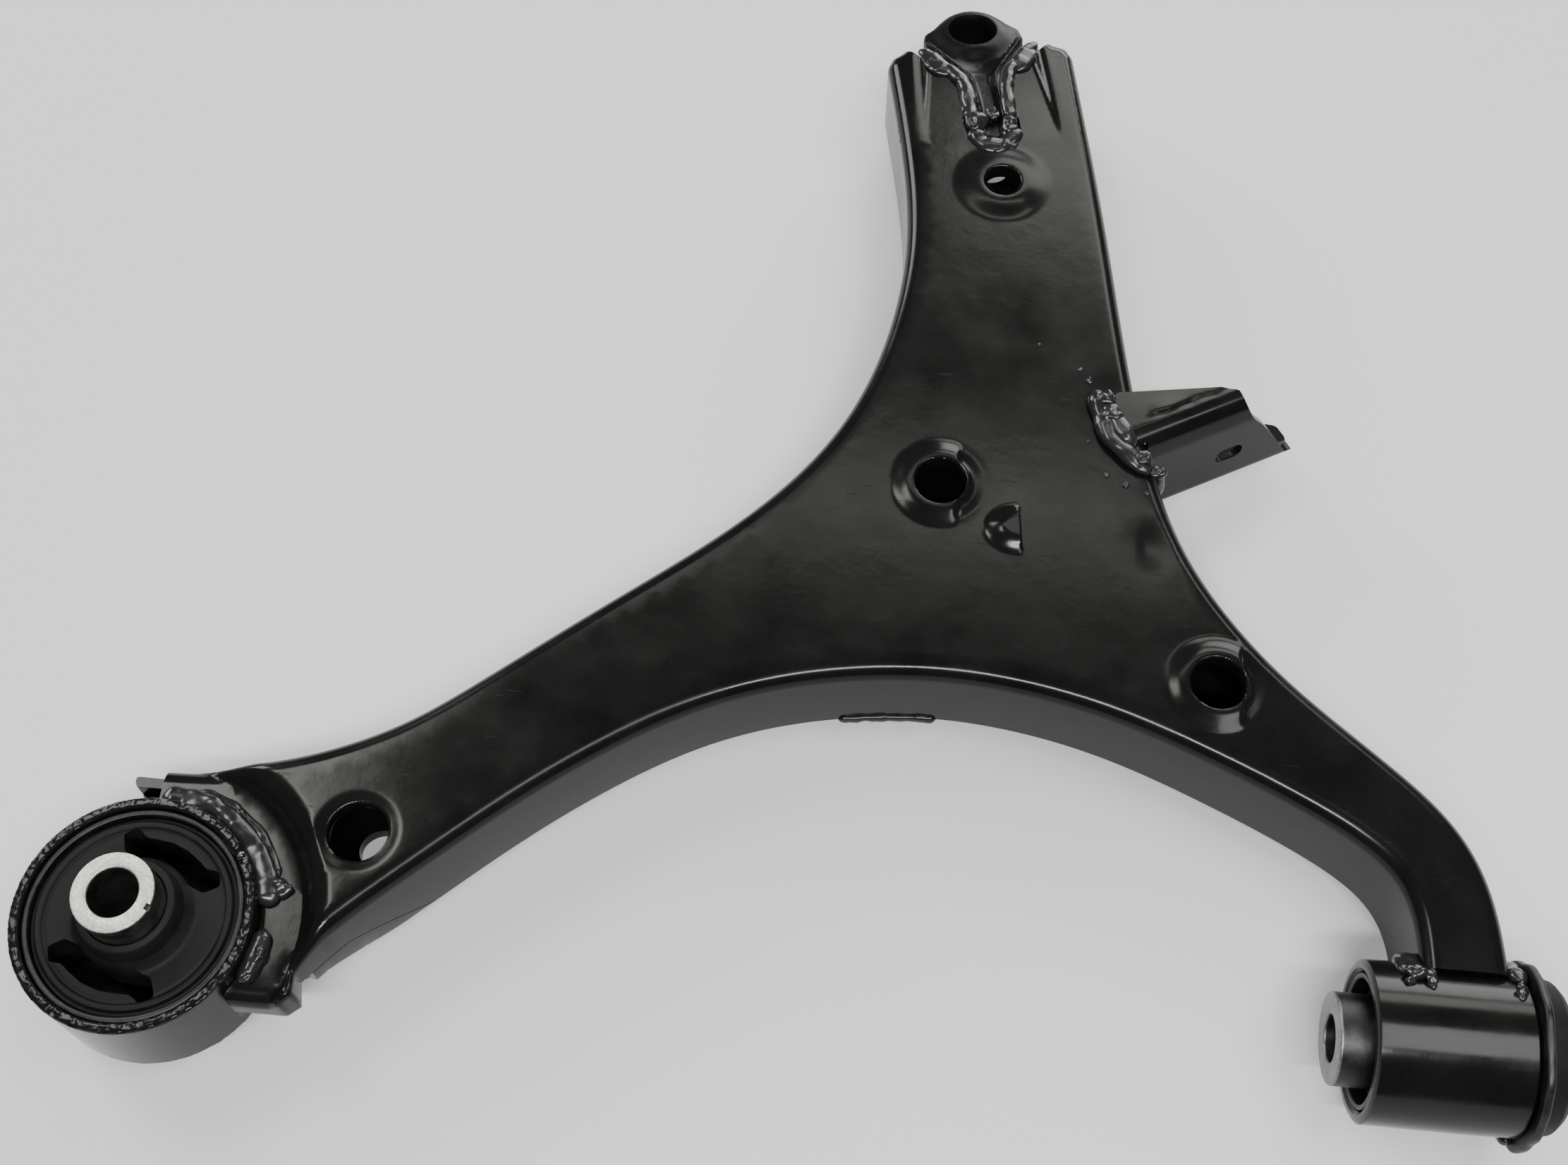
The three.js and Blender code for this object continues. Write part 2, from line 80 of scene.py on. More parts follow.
SHEET = 3.0                 # sheet of both shells
SKIN = {1: 18.0, -1: 17.8}  # height of the upper skin and depth of the lower one
FILLET = 5.0                # outer radius between skin and wall
SEAM = -13.5                # lower edge of the upper shell's wall
SEAM_GAP = 0.4
NECK_SEAM = 0.5             # the seam climbs to this height beside the ring
NECK_NEAR, NECK_FAR = 58.0, 80.0
LAND = 10.5                 # the skins step in to this height round the ring
STEP = {1: (46.0, 54.5), -1: (52.0, 72.0)}  # radii where each skin's step begins and ends
NECK_START, NECK_END = -34.0, {1: 95.0, -1: 106.0}  # degrees round the ring where each skin meets it
GAP = 0.3                   # clearance left between neighbouring pieces
FAR = 120.0                 # reach of cutters, past anything they cut

RING_RADIUS, RING_WALL, RING_HALF = 34.25, 3.0, 16.7
SHELL_WALL, SHELL_HALF = 1.7, 15.5
RUBBER_HALF = 14.5
REAR_BORE, REAR_SLEEVE = 7.1, 11.4
REAR_ENDS = (-27.1, 33.9)   # heights of the rear inner sleeve's end faces
HUB_RADIUS, HUB_RISE = 16.0, 9.0
VOID_INNER, VOID_OUTER = 16.4, 22.6
VOIDS = ((32, 104), (-146, -70))

COLLAR_RADIUS, COLLAR_WALL, COLLAR_HALF = 22.6, 3.5, 21.5
FLANGE_RADIUS, FLANGE_THICK = 26.5, 2.4
BUMPER_RADIUS, BUMPER_THICK = 21.0, 7.5
FRONT_SHELL_WALL, FRONT_RECESS = 1.6, 6.0
FRONT_BORE, FRONT_SLEEVE, FRONT_PROUD = 6.7, 12.9, 7.7
FRONT_ENDS = (-COLLAR_HALF - FRONT_PROUD, COLLAR_HALF + FLANGE_THICK + 1.6 + BUMPER_THICK)

SEAT_CENTRE, SEAT_TURN, SEAT_TILT = (218.3, 355.5, 9.0), 10.0, 10.0
BOSS_RADIUS, SEAT_DEPTH, WEB_DEPTH = 12.0, 20.0, 12.0
HOLE_TOP, HOLE_BOTTOM = 8.0, 6.6
TAIL_HALF, TAIL_END, NOTCH_HALF = 4.8, -54.0, 9.5
NOTCH_FRONT = -22.0         # the skins end here in front of the seat's tail
BOSS_PROUD = 2.2            # the web climbs this far to the hole's mouth
WEB_EDGE, WEB_UNDER = 1.3, 2.0   # radii of the web's upper and lower edges
RIM_RISE = 1.7              # raised lips along the web's two slanted edges and the tail
TAIL_FLOOR = 1.0

BRACKET_CORNER, BRACKET_ANGLE = (290.9, 178.5), 29.0
SLOT_ALONG, SLOT_HEIGHT, SLOT_LENGTH, SLOT_WIDTH = 23.6, -2.5, 10.0, 6.0

# Pressed holes: place, radius in the upper and the lower skin, and the raised boss round the upper one.
HOLES = (
    dict(x=58.4, y=29.0, radius=8.6, crown=9.0, foot=13.0, rise=0.0),
    dict(x=217.0, y=159.2, radius=7.9, crown=9.5, foot=16.5, rise=1.7, cut=5.5),
    dict(x=302.2, y=97.3, radius=8.1, crown=9.5, foot=16.5, rise=1.7, cut=7.5),
    dict(x=231.5, y=280.4, radius=6.0, crown=7.5, foot=17.5, rise=1.2),
)
LOWER_HOLES = ((59.0, 34.0, 6.7), (217.0, 159.2, 5.0), (302.2, 97.3, 5.0), (231.5, 280.4, 5.0),
               (229.0, 313.0, 6.5))
HALF_DOME = dict(x=242.3, y=144.8, turn=5.5, long=12.0, wide=9.2, rise=2.4)
DENT = (279.0, 142.0)

LEFT_EDGE = ((18, 46.5), (34, 50), (50, 56.5), (66, 64.8), (88, 83.3), (116, 107.3), (146, 132.4),
             (166, 152.3), (181.5, 173.5), (192.5, 198.5), (198.7, 226), (200.8, 252), (198.2, 283),
             (189, 331))
RIGHT_EDGE = ((254.5, 341), (266, 275), (275, 214), (281.5, 180), (294, 141), (318.5, 107), (348.5, 81),
              (370, 62), (379.5, 42), (381.8, 17))
REAR_EDGE = ((357.3, 17), (357.3, 37), (355, 43.5), (349.5, 48.5), (323.5, 63.3), (281, 82), (252, 90),
             (220, 93.2), (183, 88.7), (148, 76), (110, 50), (75, 18.5), (55, -0.5), (47, -11))
FAIRING = 60                # rounds of averaging that fair the edges


# ---------------- materials
class Shader:
    """A node material under construction, on the piece's own coordinates in metres."""

    def __init__(self, name):
        self.material = bpy.data.materials.new(name)
        self.material.use_nodes = True
        self.nodes = self.material.node_tree.nodes
        self.links = self.material.node_tree.links
        self.shader = self.nodes["Principled BSDF"]
        self.place = self.nodes.new("ShaderNodeTexCoord").outputs["Object"]

    def node(self, kind, inputs=None, **settings):
        made = self.nodes.new(kind)
        for key, value in settings.items():
            setattr(made, key, value)
        for key, value in (inputs or {}).items():
            self.feed(made.inputs[key], value)
        return made

    def feed(self, socket, value):
        if isinstance(value, bpy.types.NodeSocket):
            self.links.new(value, socket)
        else:
            socket.default_value = value

    def noise(self, size, detail=3.0, roughness=0.5, stretch=(1, 1, 1)):
        """Noise whose grains are about size millimetres."""
        mapping = self.node("ShaderNodeMapping", {"Vector": self.place, "Scale": stretch})
        inputs = {"Vector": mapping.outputs[0], "Scale": 1 / (size * MM), "Detail": detail,
                  "Roughness": roughness}
        return self.node("ShaderNodeTexNoise", inputs).outputs["Fac"]

    def ramp(self, value, low, high, start=0.3, end=0.7):
        inputs = {"Value": value, "From Min": start, "From Max": end, "To Min": low, "To Max": high}
        return self.node("ShaderNodeMapRange", inputs).outputs[0]

    def combined(self, operation, first, second):
        return self.node("ShaderNodeMath", {0: first, 1: second}, operation=operation).outputs[0]

    def mix(self, factor, first, second):
        made = self.node("ShaderNodeMix", data_type="RGBA")
        for index, value in ((0, factor), (6, first), (7, second)):
            self.feed(made.inputs[index], (*value, 1) if isinstance(value, tuple) else value)
        return made.outputs[2]

    def bump(self, layers):
        """Bumps from (height, depth in millimetres) layers."""
        normal = None
        for height, depth in layers:
            inputs = {"Height": height, "Distance": depth * MM, "Strength": 1.0}
            if normal is not None:
                inputs["Normal"] = normal
            normal = self.node("ShaderNodeBump", inputs).outputs[0]
        self.feed(self.shader.inputs["Normal"], normal)

    def set(self, **inputs):
        for key, value in inputs.items():
            self.feed(self.shader.inputs[key.replace("_", " ")], value)
        return self.material


def scaled(tint, factor):
    return tuple(factor * channel for channel in tint)


def coat(name, tint, rough, peel, pits=0.0, gloss=0.23):
    """Dipped black paint with orange peel, dull smears, dust and fine rub marks."""
    m = Shader(name)
    smear = m.noise(22, 4, 0.6)
    dust = m.ramp(m.noise(0.5, 1, 0.5), 0.0, 1.0, 0.72, 0.8)
    rubbed = m.ramp(m.noise(1.2, 2, 0.6, (0.12, 1, 1)), 0.0, 1.0, 0.66, 0.78)
    shade = m.mix(m.ramp(smear, 0, 1), scaled(tint, 0.75), scaled(tint, 1.3))
    shade = m.mix(m.combined("MULTIPLY", dust, 0.06), shade, (0.2, 0.2, 0.19))
    base = m.ramp(smear, rough * 0.8, rough * 1.25)
    roughness = m.combined("ADD", base, m.combined("MULTIPLY", rubbed, 0.12))
    layers = [(m.noise(9, 2, 0.4), 0.05), (m.noise(1.6, 2, 0.5), peel)]
    if pits:
        layers.append((m.noise(3.0, 3, 0.55), pits))
    m.bump(layers)
    return m.set(Base_Color=shade, Roughness=roughness, IOR=1.45, Specular_IOR_Level=gloss)


def moulded_rubber(name):
    m = Shader(name)
    cloud = m.noise(14, 4, 0.6)
    shade = m.mix(m.ramp(cloud, 0, 1), (0.003, 0.0031, 0.0033), (0.0075, 0.0078, 0.008))
    m.bump([(m.noise(0.35, 2, 0.5), 0.05), (m.noise(5, 3, 0.5), 0.08)])
    return m.set(Base_Color=shade, Roughness=m.ramp(cloud, 0.5, 0.68), IOR=1.45, Specular_IOR_Level=0.2)


def steel(name, faced, plain_tone_and_bore_shade, rough, centre, axis, ends):
    """Steel whose two ends along an axis through centre are machined faces. Elsewhere it has the unfaced
    colour: the phosphated front parts' own dark tone, and on the rear sleeve a painted shade that darkens its
    bore.
    """
    m = Shader(name)
    grit = m.noise(0.8, 3, 0.6)
    cloud = m.noise(7, 3, 0.6)
    away = m.node("ShaderNodeVectorMath", {0: m.place, 1: centre}, operation="SUBTRACT").outputs[0]
    along = m.node("ShaderNodeVectorMath", {0: away, 1: axis}, operation="DOT_PRODUCT").outputs["Value"]
    low, high = ends
    top = m.ramp(along, 0, 1, (high - 0.9) * MM, (high - 0.5) * MM)
    below = m.ramp(along, 1, 0, (low + 0.5) * MM, (low + 0.9) * MM)
    near = m.ramp(along, 0, 1, (low - 2) * MM, (low - 1) * MM)
    face = m.combined("MAXIMUM", top, m.combined("MULTIPLY", below, near))
    shade = m.mix(face, plain_tone_and_bore_shade, faced)
    shade = m.mix(m.ramp(grit, 0, 0.45, 0.35, 0.65), shade, scaled(plain_tone_and_bore_shade, 0.6))
    shade = m.mix(m.ramp(cloud, 0, 0.25), shade, scaled(faced, 0.5))
    rings = m.node("ShaderNodeTexWave", {"Vector": away, "Scale": 1 / (8 * MM), "Distortion": 0.6},
                   wave_type="RINGS", rings_direction="Z").outputs["Fac"]
    m.bump([(grit, 0.03), (rings, 0.01)])
    return m.set(Base_Color=shade, Metallic=0.9, Roughness=m.ramp(cloud, rough * 0.8, rough * 1.2))


MATERIALS = {
    "black_paint": coat("black_paint", (0.0045, 0.0046, 0.0043), 0.17, 0.010),
    "black_forging": coat("black_forging", (0.0035, 0.0035, 0.0034), 0.3, 0.02, pits=0.1, gloss=0.13),
    "painted_weld": coat("painted_weld", (0.012, 0.012, 0.013), 0.2, 0.005, pits=0.02, gloss=0.5),
    "rubber": moulded_rubber("moulded_rubber"),
    "dark_steel": steel("dark_steel", (0.25, 0.245, 0.245), (0.026, 0.026, 0.027), 0.45,
                        tuple(places["front_bush_twist"]), (1, 0, 0), FRONT_ENDS),
    # the rear sleeve's dark unfaced colour is painted shade down its bore
    "bright_steel": steel("bright_steel", (0.66, 0.65, 0.61), (0.03, 0.03, 0.03), 0.42,
                          tuple(REAR_BUSH), (0, 0, 1), REAR_ENDS),
}


# ---------------- plan geometry
def smoothstep(x):
    x = np.clip(x, 0, 1)
    return x * x * (3 - 2 * x)


def resampled(points, step):
    """The same line with evenly spaced points."""
    points = np.asarray(points, float)
    lengths = np.r_[0, np.cumsum(np.linalg.norm(np.diff(points, axis=0), axis=1))]
    count = max(2, int(round(lengths[-1] / step)) + 1)
    at = np.linspace(0, lengths[-1], count)
    return np.column_stack([np.interp(at, lengths, points[:, k]) for k in range(points.shape[1])])


def respaced(outline, step):
    """The same closed outline with evenly spaced points."""
    return resampled(np.vstack([outline, outline[:1]]), step)[:-1]


def spline(knots, step=1.5, fairing=0):
    """A smooth curve through knots, faired by rounds of averaging with its ends held."""
    p = np.asarray(knots, float)
    p = np.vstack([p[0], p, p[-1]])
    t = np.linspace(0, 1, 40, endpoint=False)[:, None]
    runs = []
    for a, b, c, d in zip(p[:-3], p[1:-2], p[2:-1], p[3:]):
        u, v = (c - a) / 2, (d - b) / 2
        runs.append((2 * b - 2 * c + u + v) * t**3 + (3 * c - 3 * b - 2 * u - v) * t**2 + u * t + b)
    curve = resampled(np.vstack([*runs, p[-1:]]), step)
    for _ in range(fairing):
        curve[1:-1] += (curve[:-2] + curve[2:] - 2 * curve[1:-1]) / 2
    return curve


def arc(x, y, radius, start, end, step=1.2):
    count = max(3, int(abs(math.radians(end - start)) * radius / step) + 1)
    angles = np.radians(np.linspace(start, end, count))
    return np.column_stack([x + radius * np.cos(angles), y + radius * np.sin(angles)])


def joined(*runs):
    """Runs of points as one line, without the points they share."""
    points = np.vstack([np.asarray(run, float).reshape(-1, 2) for run in runs])
    far = np.linalg.norm(np.diff(points, axis=0), axis=1) > 0.05
    return points[np.r_[True, far]]


def loop(*runs):
    points = joined(*runs)
    return points[:-1] if np.linalg.norm(points[0] - points[-1]) < 0.05 else points


def eased(corners, radius, steps=5):
    """A closed outline whose corners are rounded; a corner may carry its own radius."""
    result = []
    count = len(corners)
    for i in range(count):
        before, here, after = (np.array(corners[k % count][:2], float) for k in (i - 1, i, i + 1))
        own = corners[i][2] if len(corners[i]) > 2 else radius
        a, b = before - here, after - here
        la, lb = np.linalg.norm(a), np.linalg.norm(b)
        a, b = a / la, b / lb
        half = math.acos(float(np.clip(a @ b, -1, 1))) / 2
        reach = min(own / max(math.tan(half), 1e-6), 0.49 * la, 0.49 * lb)
        if own <= 0 or reach < 1e-3:
            result.append(here)
            continue
        for k in range(steps + 1):
            t = k / steps
            result.append((1 - t)**2 * (here + a * reach) + 2 * t * (1 - t) * here
                          + t * t * (here + b * reach))
    return np.array(result)


def to_segments(lines, closed):
    starts = [line if closed else line[:-1] for line in lines]
    ends = [np.roll(line, -1, axis=0) if closed else line[1:] for line in lines]
    return np.vstack(starts), np.vstack(ends)


def distance(points, lines, closed=False):
    """Distance in plan from each point to the nearest of some lines."""
    a, b = to_segments(lines, closed)
    d = b - a
    square = np.maximum((d * d).sum(1), 1e-12)
    result = np.empty(len(points))
    for k in range(0, len(points), 2000):
        p = points[k:k + 2000, None, :] - a[None]
        t = np.clip((p * d).sum(2) / square, 0, 1)
        result[k:k + 2000] = np.sqrt(((p - t[..., None] * d)**2).sum(2).min(1))
    return result


def inside(points, loops):
    """Which points are inside the first loop and outside the others."""
    a, b = to_segments(loops, True)
    result = np.empty(len(points), bool)
    for k in range(0, len(points), 2000):
        x, y = points[k:k + 2000, 0:1], points[k:k + 2000, 1:2]
        spans = (a[:, 1] > y) != (b[:, 1] > y)
        slope = (b[:, 0] - a[:, 0]) / np.where(b[:, 1] == a[:, 1], 1, b[:, 1] - a[:, 1])
        result[k:k + 2000] = (spans & (x < a[:, 0] + slope * (y - a[:, 1]))).sum(1) % 2 == 1
    return result


def shifted(line, amount, closed=False):
    """A line moved sideways, to its left where amount is above 0."""
    ahead = np.roll(line, -1, axis=0) if closed else np.vstack([line[1:], 2 * line[-1] - line[-2]])
    behind = np.roll(line, 1, axis=0) if closed else np.vstack([2 * line[0] - line[1], line[:-1]])
    along = ahead - behind
    along /= np.linalg.norm(along, axis=1)[:, None]
    return line + amount * np.column_stack([-along[:, 1], along[:, 0]])


def rings_round(x, y, radii, step):
    return np.vstack([arc(x, y, r, 0, 360, step)[:-1] for r in radii])


def grid_of(xs, ys):
    """Points in rows and columns, each given as its first, last and spacing."""
    return np.array([(x, y) for x in np.arange(*xs) for y in np.arange(*ys)], float)


def in_frame(x, y, place, turn):
    """Plan coordinates as seen from a frame at place that is turned by turn degrees."""
    cosine, sine = math.cos(math.radians(turn)), math.sin(math.radians(turn))
    dx, dy = x - place[0], y - place[1]
    return dx * cosine + dy * sine, dy * cosine - dx * sine


def thinned(points, taken, gap):
    """The points that keep their distance from those already taken."""
    tree = kdtree.KDTree(len(taken))
    for i, (x, y) in enumerate(taken):
        tree.insert((x, y, 0), i)
    tree.balance()
    keep = [tree.find((x, y, 0))[2] > gap for x, y in points]
    return points[np.array(keep, bool)]


def plan_mesh(loops, rows=(), others=None, extra=(), spacing=4.0):
    """Triangles in plan inside the first loop and outside the rest.

    rows are (lines, closed, distances): rows of points that follow lines at those distances. others are lines
    that rows stay clear of, and extra are groups of further points with their smallest spacing.
    """
    taken = np.vstack(loops)
    added = []
    for lines, closed, distances in rows:
        for gap in distances:
            row = np.vstack([shifted(line, side * gap, closed) for line in lines for side in (1, -1)])
            keep = inside(row, loops) & (distance(row, lines, closed) > 0.985 * gap - 0.001)
            if others is not None:
                keep &= distance(row, others) > 0.45
            added.append(row[keep])
    if added:
        taken = np.vstack([taken, *added])
    low, high = loops[0].min(0), loops[0].max(0)
    tall = spacing * math.sqrt(3) / 2
    grid = np.array([(low[0] + spacing * (i + (j % 2) / 2), low[1] + tall * j)
                     for j in range(int((high[1] - low[1]) / tall) + 1)
                     for i in range(int((high[0] - low[0]) / spacing) + 1)])
    for points, gap in [*extra, (grid, spacing * 0.55)]:
        points = points[inside(points, loops)]
        points = points[distance(points, loops, True) > min(gap, 0.6 * spacing)]
        if len(points):
            taken = np.vstack([taken, thinned(points, taken, gap)])
    edges, start = [], 0
    for line in loops:
        n = len(line)
        edges += [(start + i, start + (i + 1) % n) for i in range(n)]
        start += n
    verts, _, faces, *_ = delaunay_2d_cdt([Vector(p) for p in taken], edges, [], 0, 1e-6)
    xy = np.array([tuple(v) for v in verts])
    faces = np.array(faces)
    return xy, faces[inside(xy[faces].mean(1), loops)]


# ---------------- mesh building
def placed(name, data):
    """A new object of the scene."""
    made = bpy.data.objects.new(name, data)
    bpy.context.scene.collection.objects.link(made)
    return made


def body(verts, faces):
    mesh = bpy.data.meshes.new("body")
    mesh.from_pydata([tuple(map(float, v)) for v in verts], [], [tuple(map(int, f)) for f in faces])
    mesh.update()
    return placed("body", mesh)


def filled(xy, faces, top, bottom):
    """A closed solid between two heights over a plan mesh; each height is a number or one per point."""
    n = len(xy)
    verts = np.vstack([np.column_stack([xy, height * np.ones(n)]) for height in (top, bottom)])
    sides = np.vstack([faces[:, [0, 1]], faces[:, [1, 2]], faces[:, [2, 0]]])
    known = {(i, j) for i, j in sides.tolist()}
    walls = [(i, i + n, j + n, j) for i, j in known if (j, i) not in known]
    return body(verts, [*faces.tolist(), *(faces[:, ::-1] + n).tolist(), *sorted(walls)])


def rounding(gap, radius):
    """How far a rounded edge has dropped at a distance from the edge's side."""
    inner = np.clip(radius - gap, 0, radius)
    return radius - np.sqrt(radius**2 - inner**2)


QUARTER = [1 - math.cos(math.radians(angle)) for angle in (10, 21, 32, 44, 56, 68, 79, 90)]


def prism(outline, bottom, top):
    """A straight solid over an outline."""
    xy, faces = plan_mesh([outline], spacing=40.0)
    return filled(xy, faces, top, bottom)


def turned(profile, segments=96):
    """A solid turned about Z from a closed (radius, height) outline."""
    p = np.asarray(profile, float)
    if (p[:, 0] * np.roll(p[:, 1], -1) - np.roll(p[:, 0], -1) * p[:, 1]).sum() < 0:
        p = p[::-1]
    n = len(p)
    angles = np.arange(segments) * 2 * math.pi / segments
    verts = [(r * math.cos(a), r * math.sin(a), z) for a in angles for r, z in p]
    faces = [(s * n + i, t * n + i, t * n + (i + 1) % n, s * n + (i + 1) % n)
             for s, t in zip(range(segments), [*range(1, segments), 0]) for i in range(n)]
    return body(verts, faces)


def tube_section(inner, outer, low, high, rounds):
    """The outline of a tube's wall; rounds are its corner radii, from inside below to inside above."""
    corners = ((inner, low), (outer, low), (outer, high), (inner, high))
    return eased([(*corner, radius) for corner, radius in zip(corners, rounds)], 0, 4)


def box(low, high):
    outline = np.array([(low[0], low[1]), (high[0], low[1]), (high[0], high[1]), (low[0], high[1])], float)
    return filled(outline, np.array([(0, 1, 2), (0, 2, 3)]), high[2], low[2])


def moved(made, matrix):
    made.data.transform(matrix)
    if matrix.determinant() < 0:
        made.data.flip_normals()
    made.data.update()
    return made


def carve(made, *tools, operation="DIFFERENCE"):
    """Cuts tools out of a body, or joins or keeps what is common, and removes the tools."""
    for tool in tools:
        modifier = made.modifiers.new("carve", "BOOLEAN")
        modifier.solver = "MANIFOLD"
        modifier.operation = operation
        modifier.object = tool
        settle(made)
        bpy.data.objects.remove(tool)
    return made


def settle(made):
    """Applies a body's modifiers."""
    bpy.context.view_layer.update()
    graph = bpy.context.evaluated_depsgraph_get()
    mesh = bpy.data.meshes.new_from_object(made.evaluated_get(graph))
    made.modifiers.clear()
    made.data = mesh


def show(made, name, slot, node, rider="arm", sharp=38):
    """A finished body becomes a piece: named, painted, in the row frame and standing for its CAD node."""
    moved(made, TO_ROW)
    made.name = made.data.name = name
    made.data.shade_smooth()
    made.data.set_sharp_from_angle(angle=math.radians(sharp))
    made.data.materials.clear()
    made.data.materials.append(MATERIALS[slot])
    if rider:
        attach(made, rider)
    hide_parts(node)


# ---------------- shells
def at_seat(tilt=0.0):
    """From the ball joint hole's own frame, its +Y outward, to the working frame."""
    return (Matrix.Translation(SEAT_CENTRE) @ Matrix.Rotation(math.radians(SEAT_TURN), 4, "Z")
            @ Matrix.Rotation(-math.radians(tilt), 4, "X"))


def seat_plan(points):
    """Plan points of the seat's frame in the working frame."""
    place = at_seat()
    return np.array([tuple((place @ Vector((x, y, 0)))[:2]) for x, y in points])


left_wall = joined([(-3, 46)], spline(((-3, 46), *LEFT_EDGE), fairing=FAIRING), [(190, 335), (193.5, 338)])
right_wall = joined([(247, 346.5), (252, 345.2)], spline(RIGHT_EDGE, fairing=FAIRING))
rear_wall = joined(spline(REAR_EDGE, fairing=FAIRING), [(48.5, -18), (45, -21), (30, -21)])
tab_wall = joined([(-15.5, 44.6), (-15.3, 46.2), (-3, 46.0)], left_wall)
WALL_STEP = 1.4
WALLS = {side: [resampled(line, WALL_STEP) for line in (left, right_wall, rear_wall)]
         for side, left in ((1, left_wall), (-1, tab_wall))}


def fine_ends(a, b, step=2.0):
    """A straight run with closer points near its ends."""
    a, b = np.array(a, float), np.array(b, float)
    length = np.linalg.norm(b - a)
    near = [d for d in (0.2, 0.6, 1.1, 1.7, 2.4, 3.2, 4.1, 5.0) if d < length / 2]
    middle = np.arange(6.5, max(length - 6.5, 6.5), step)
    at = np.unique(np.r_[0, near, middle[(middle < length - 5.5)], [length - d for d in near], length])
    return a + (b - a) * (at / length)[:, None]


def shell_outline(side):
    """The plan loop of one shell: walls, the open tip, the open leg end and the arc round the ring."""
    left, right, rear = WALLS[side]
    neck = arc(0, 0, RING_RADIUS + GAP, NECK_START, NECK_END[side])
    if side > 0:
        half = [(21, NOTCH_FRONT + 4), (20.5, -17), (NOTCH_HALF + 1.5, -25.5), (NOTCH_HALF, -29)]
        mouth, other = seat_plan([(-x, y) for x, y in half]), seat_plan(half[::-1])
        tail = seat_plan(arc(0, TAIL_END, NOTCH_HALF, 180, 360))
        tip = joined(fine_ends(left[-1], mouth[0]), resampled(joined(mouth, tail, other), WALL_STEP),
                     fine_ends(other[-1], right[0]))
    else:
        inner = seat_plan([(-20, -20), (20, -20)])
        tip = joined(fine_ends(left[-1], inner[0]), fine_ends(*inner), fine_ends(inner[-1], right[0]))
    leg = fine_ends(right[-1], rear[0])
    lip = fine_ends(rear[-1], neck[0])
    shoulder = fine_ends(neck[-1], left[0])
    outline = loop(left, tip, right, leg, rear, lip, neck, shoulder)
    return outline, [tip, leg, lip, neck, shoulder]


def tip_channel(x, y):
    """The skin sinks toward the open tip between two flutes, beside the seat."""
    across, out = in_frame(x, y, SEAT_CENTRE, SEAT_TURN)
    ahead = np.clip((out + 58) / 36, 0, 1.1)
    left = across + 25.2 - 2.5 * ahead
    right = 23.4 - 2.0 * ahead - across
    grown = ahead**1.3
    sunk = smoothstep(left / (1.5 + 2.5 * grown)) * smoothstep(right / (1.2 + 1.8 * grown))
    ridges = np.exp(-((left + 2.0) / 2.4)**2) + np.exp(-((right + 2.0) / 2.4)**2)
    return grown * (0.5 * ridges - 2.5 * sunk)


def boss_height(h, x, y):
    """One hole's raised boss, cut off along a straight crease on its front side, with a rolled lip."""
    dx, dy = x - h["x"], y - h["y"]
    r = np.hypot(dx, dy)
    beyond = smoothstep((dx - h.get("cut", 99)) / 2.2 + 0.5) * smoothstep((r - h["radius"]) / 3)
    ring = smoothstep((h["foot"] - r) / (h["foot"] - h["crown"]))
    height = h["rise"] * ring * (1 - beyond)
    height = height - 0.7 * beyond * smoothstep((h["foot"] - 2 - r) / 5) + 0.25 * beyond * ring
    if not h["rise"]:
        height = -0.5 * smoothstep((h["foot"] - r) / (h["foot"] - h["radius"]))
    return height - rounding(np.maximum(r - h["radius"], 0), 0.9)


def half_dome(x, y):
    """A half dome sheared along its straight front edge."""
    d = HALF_DOME
    ahead, across = in_frame(x, y, (d["x"], d["y"]), d["turn"])
    away = np.hypot(ahead / d["long"], across / d["wide"])
    return d["rise"] * smoothstep((1 - away) / 0.62) * smoothstep(0.5 - ahead / 0.7)


def skin_height(x, y, side=1, pressed=True):
    """Height of a skin above the middle plane before its fillet: land, bosses and small pressings."""
    r = np.hypot(x, y)
    land, step = STEP[side]
    u = np.clip((r - land) / (step - land), 0, 1)
    z = LAND + (SKIN[side] - LAND) * (1.5 * u - 0.5 * u**3)
    if not pressed or side < 0:
        return z
    dx, dy = x - DENT[0], y - DENT[1]
    dent = np.exp(-((dx / 7)**2 + (dy / 7.5)**2))
    z = z - dent * (0.45 + 0.22 * np.tanh((dx - 1) / 1.8))
    return z + sum(boss_height(h, x, y) for h in HOLES) + half_dome(x, y) + tip_channel(x, y)


def edge_rows():
    """Points either side of the half dome's sheared edge."""
    turn = math.radians(HALF_DOME["turn"])
    across = np.array([-math.sin(turn), math.cos(turn)])
    ahead = np.array([math.cos(turn), math.sin(turn)])
    start = np.array([HALF_DOME["x"], HALF_DOME["y"]])
    return np.array([start + across * a + ahead * b
                     for a in np.arange(-10, 10.1, 0.5) for b in (-0.45, -0.15, 0.15, 0.45)])


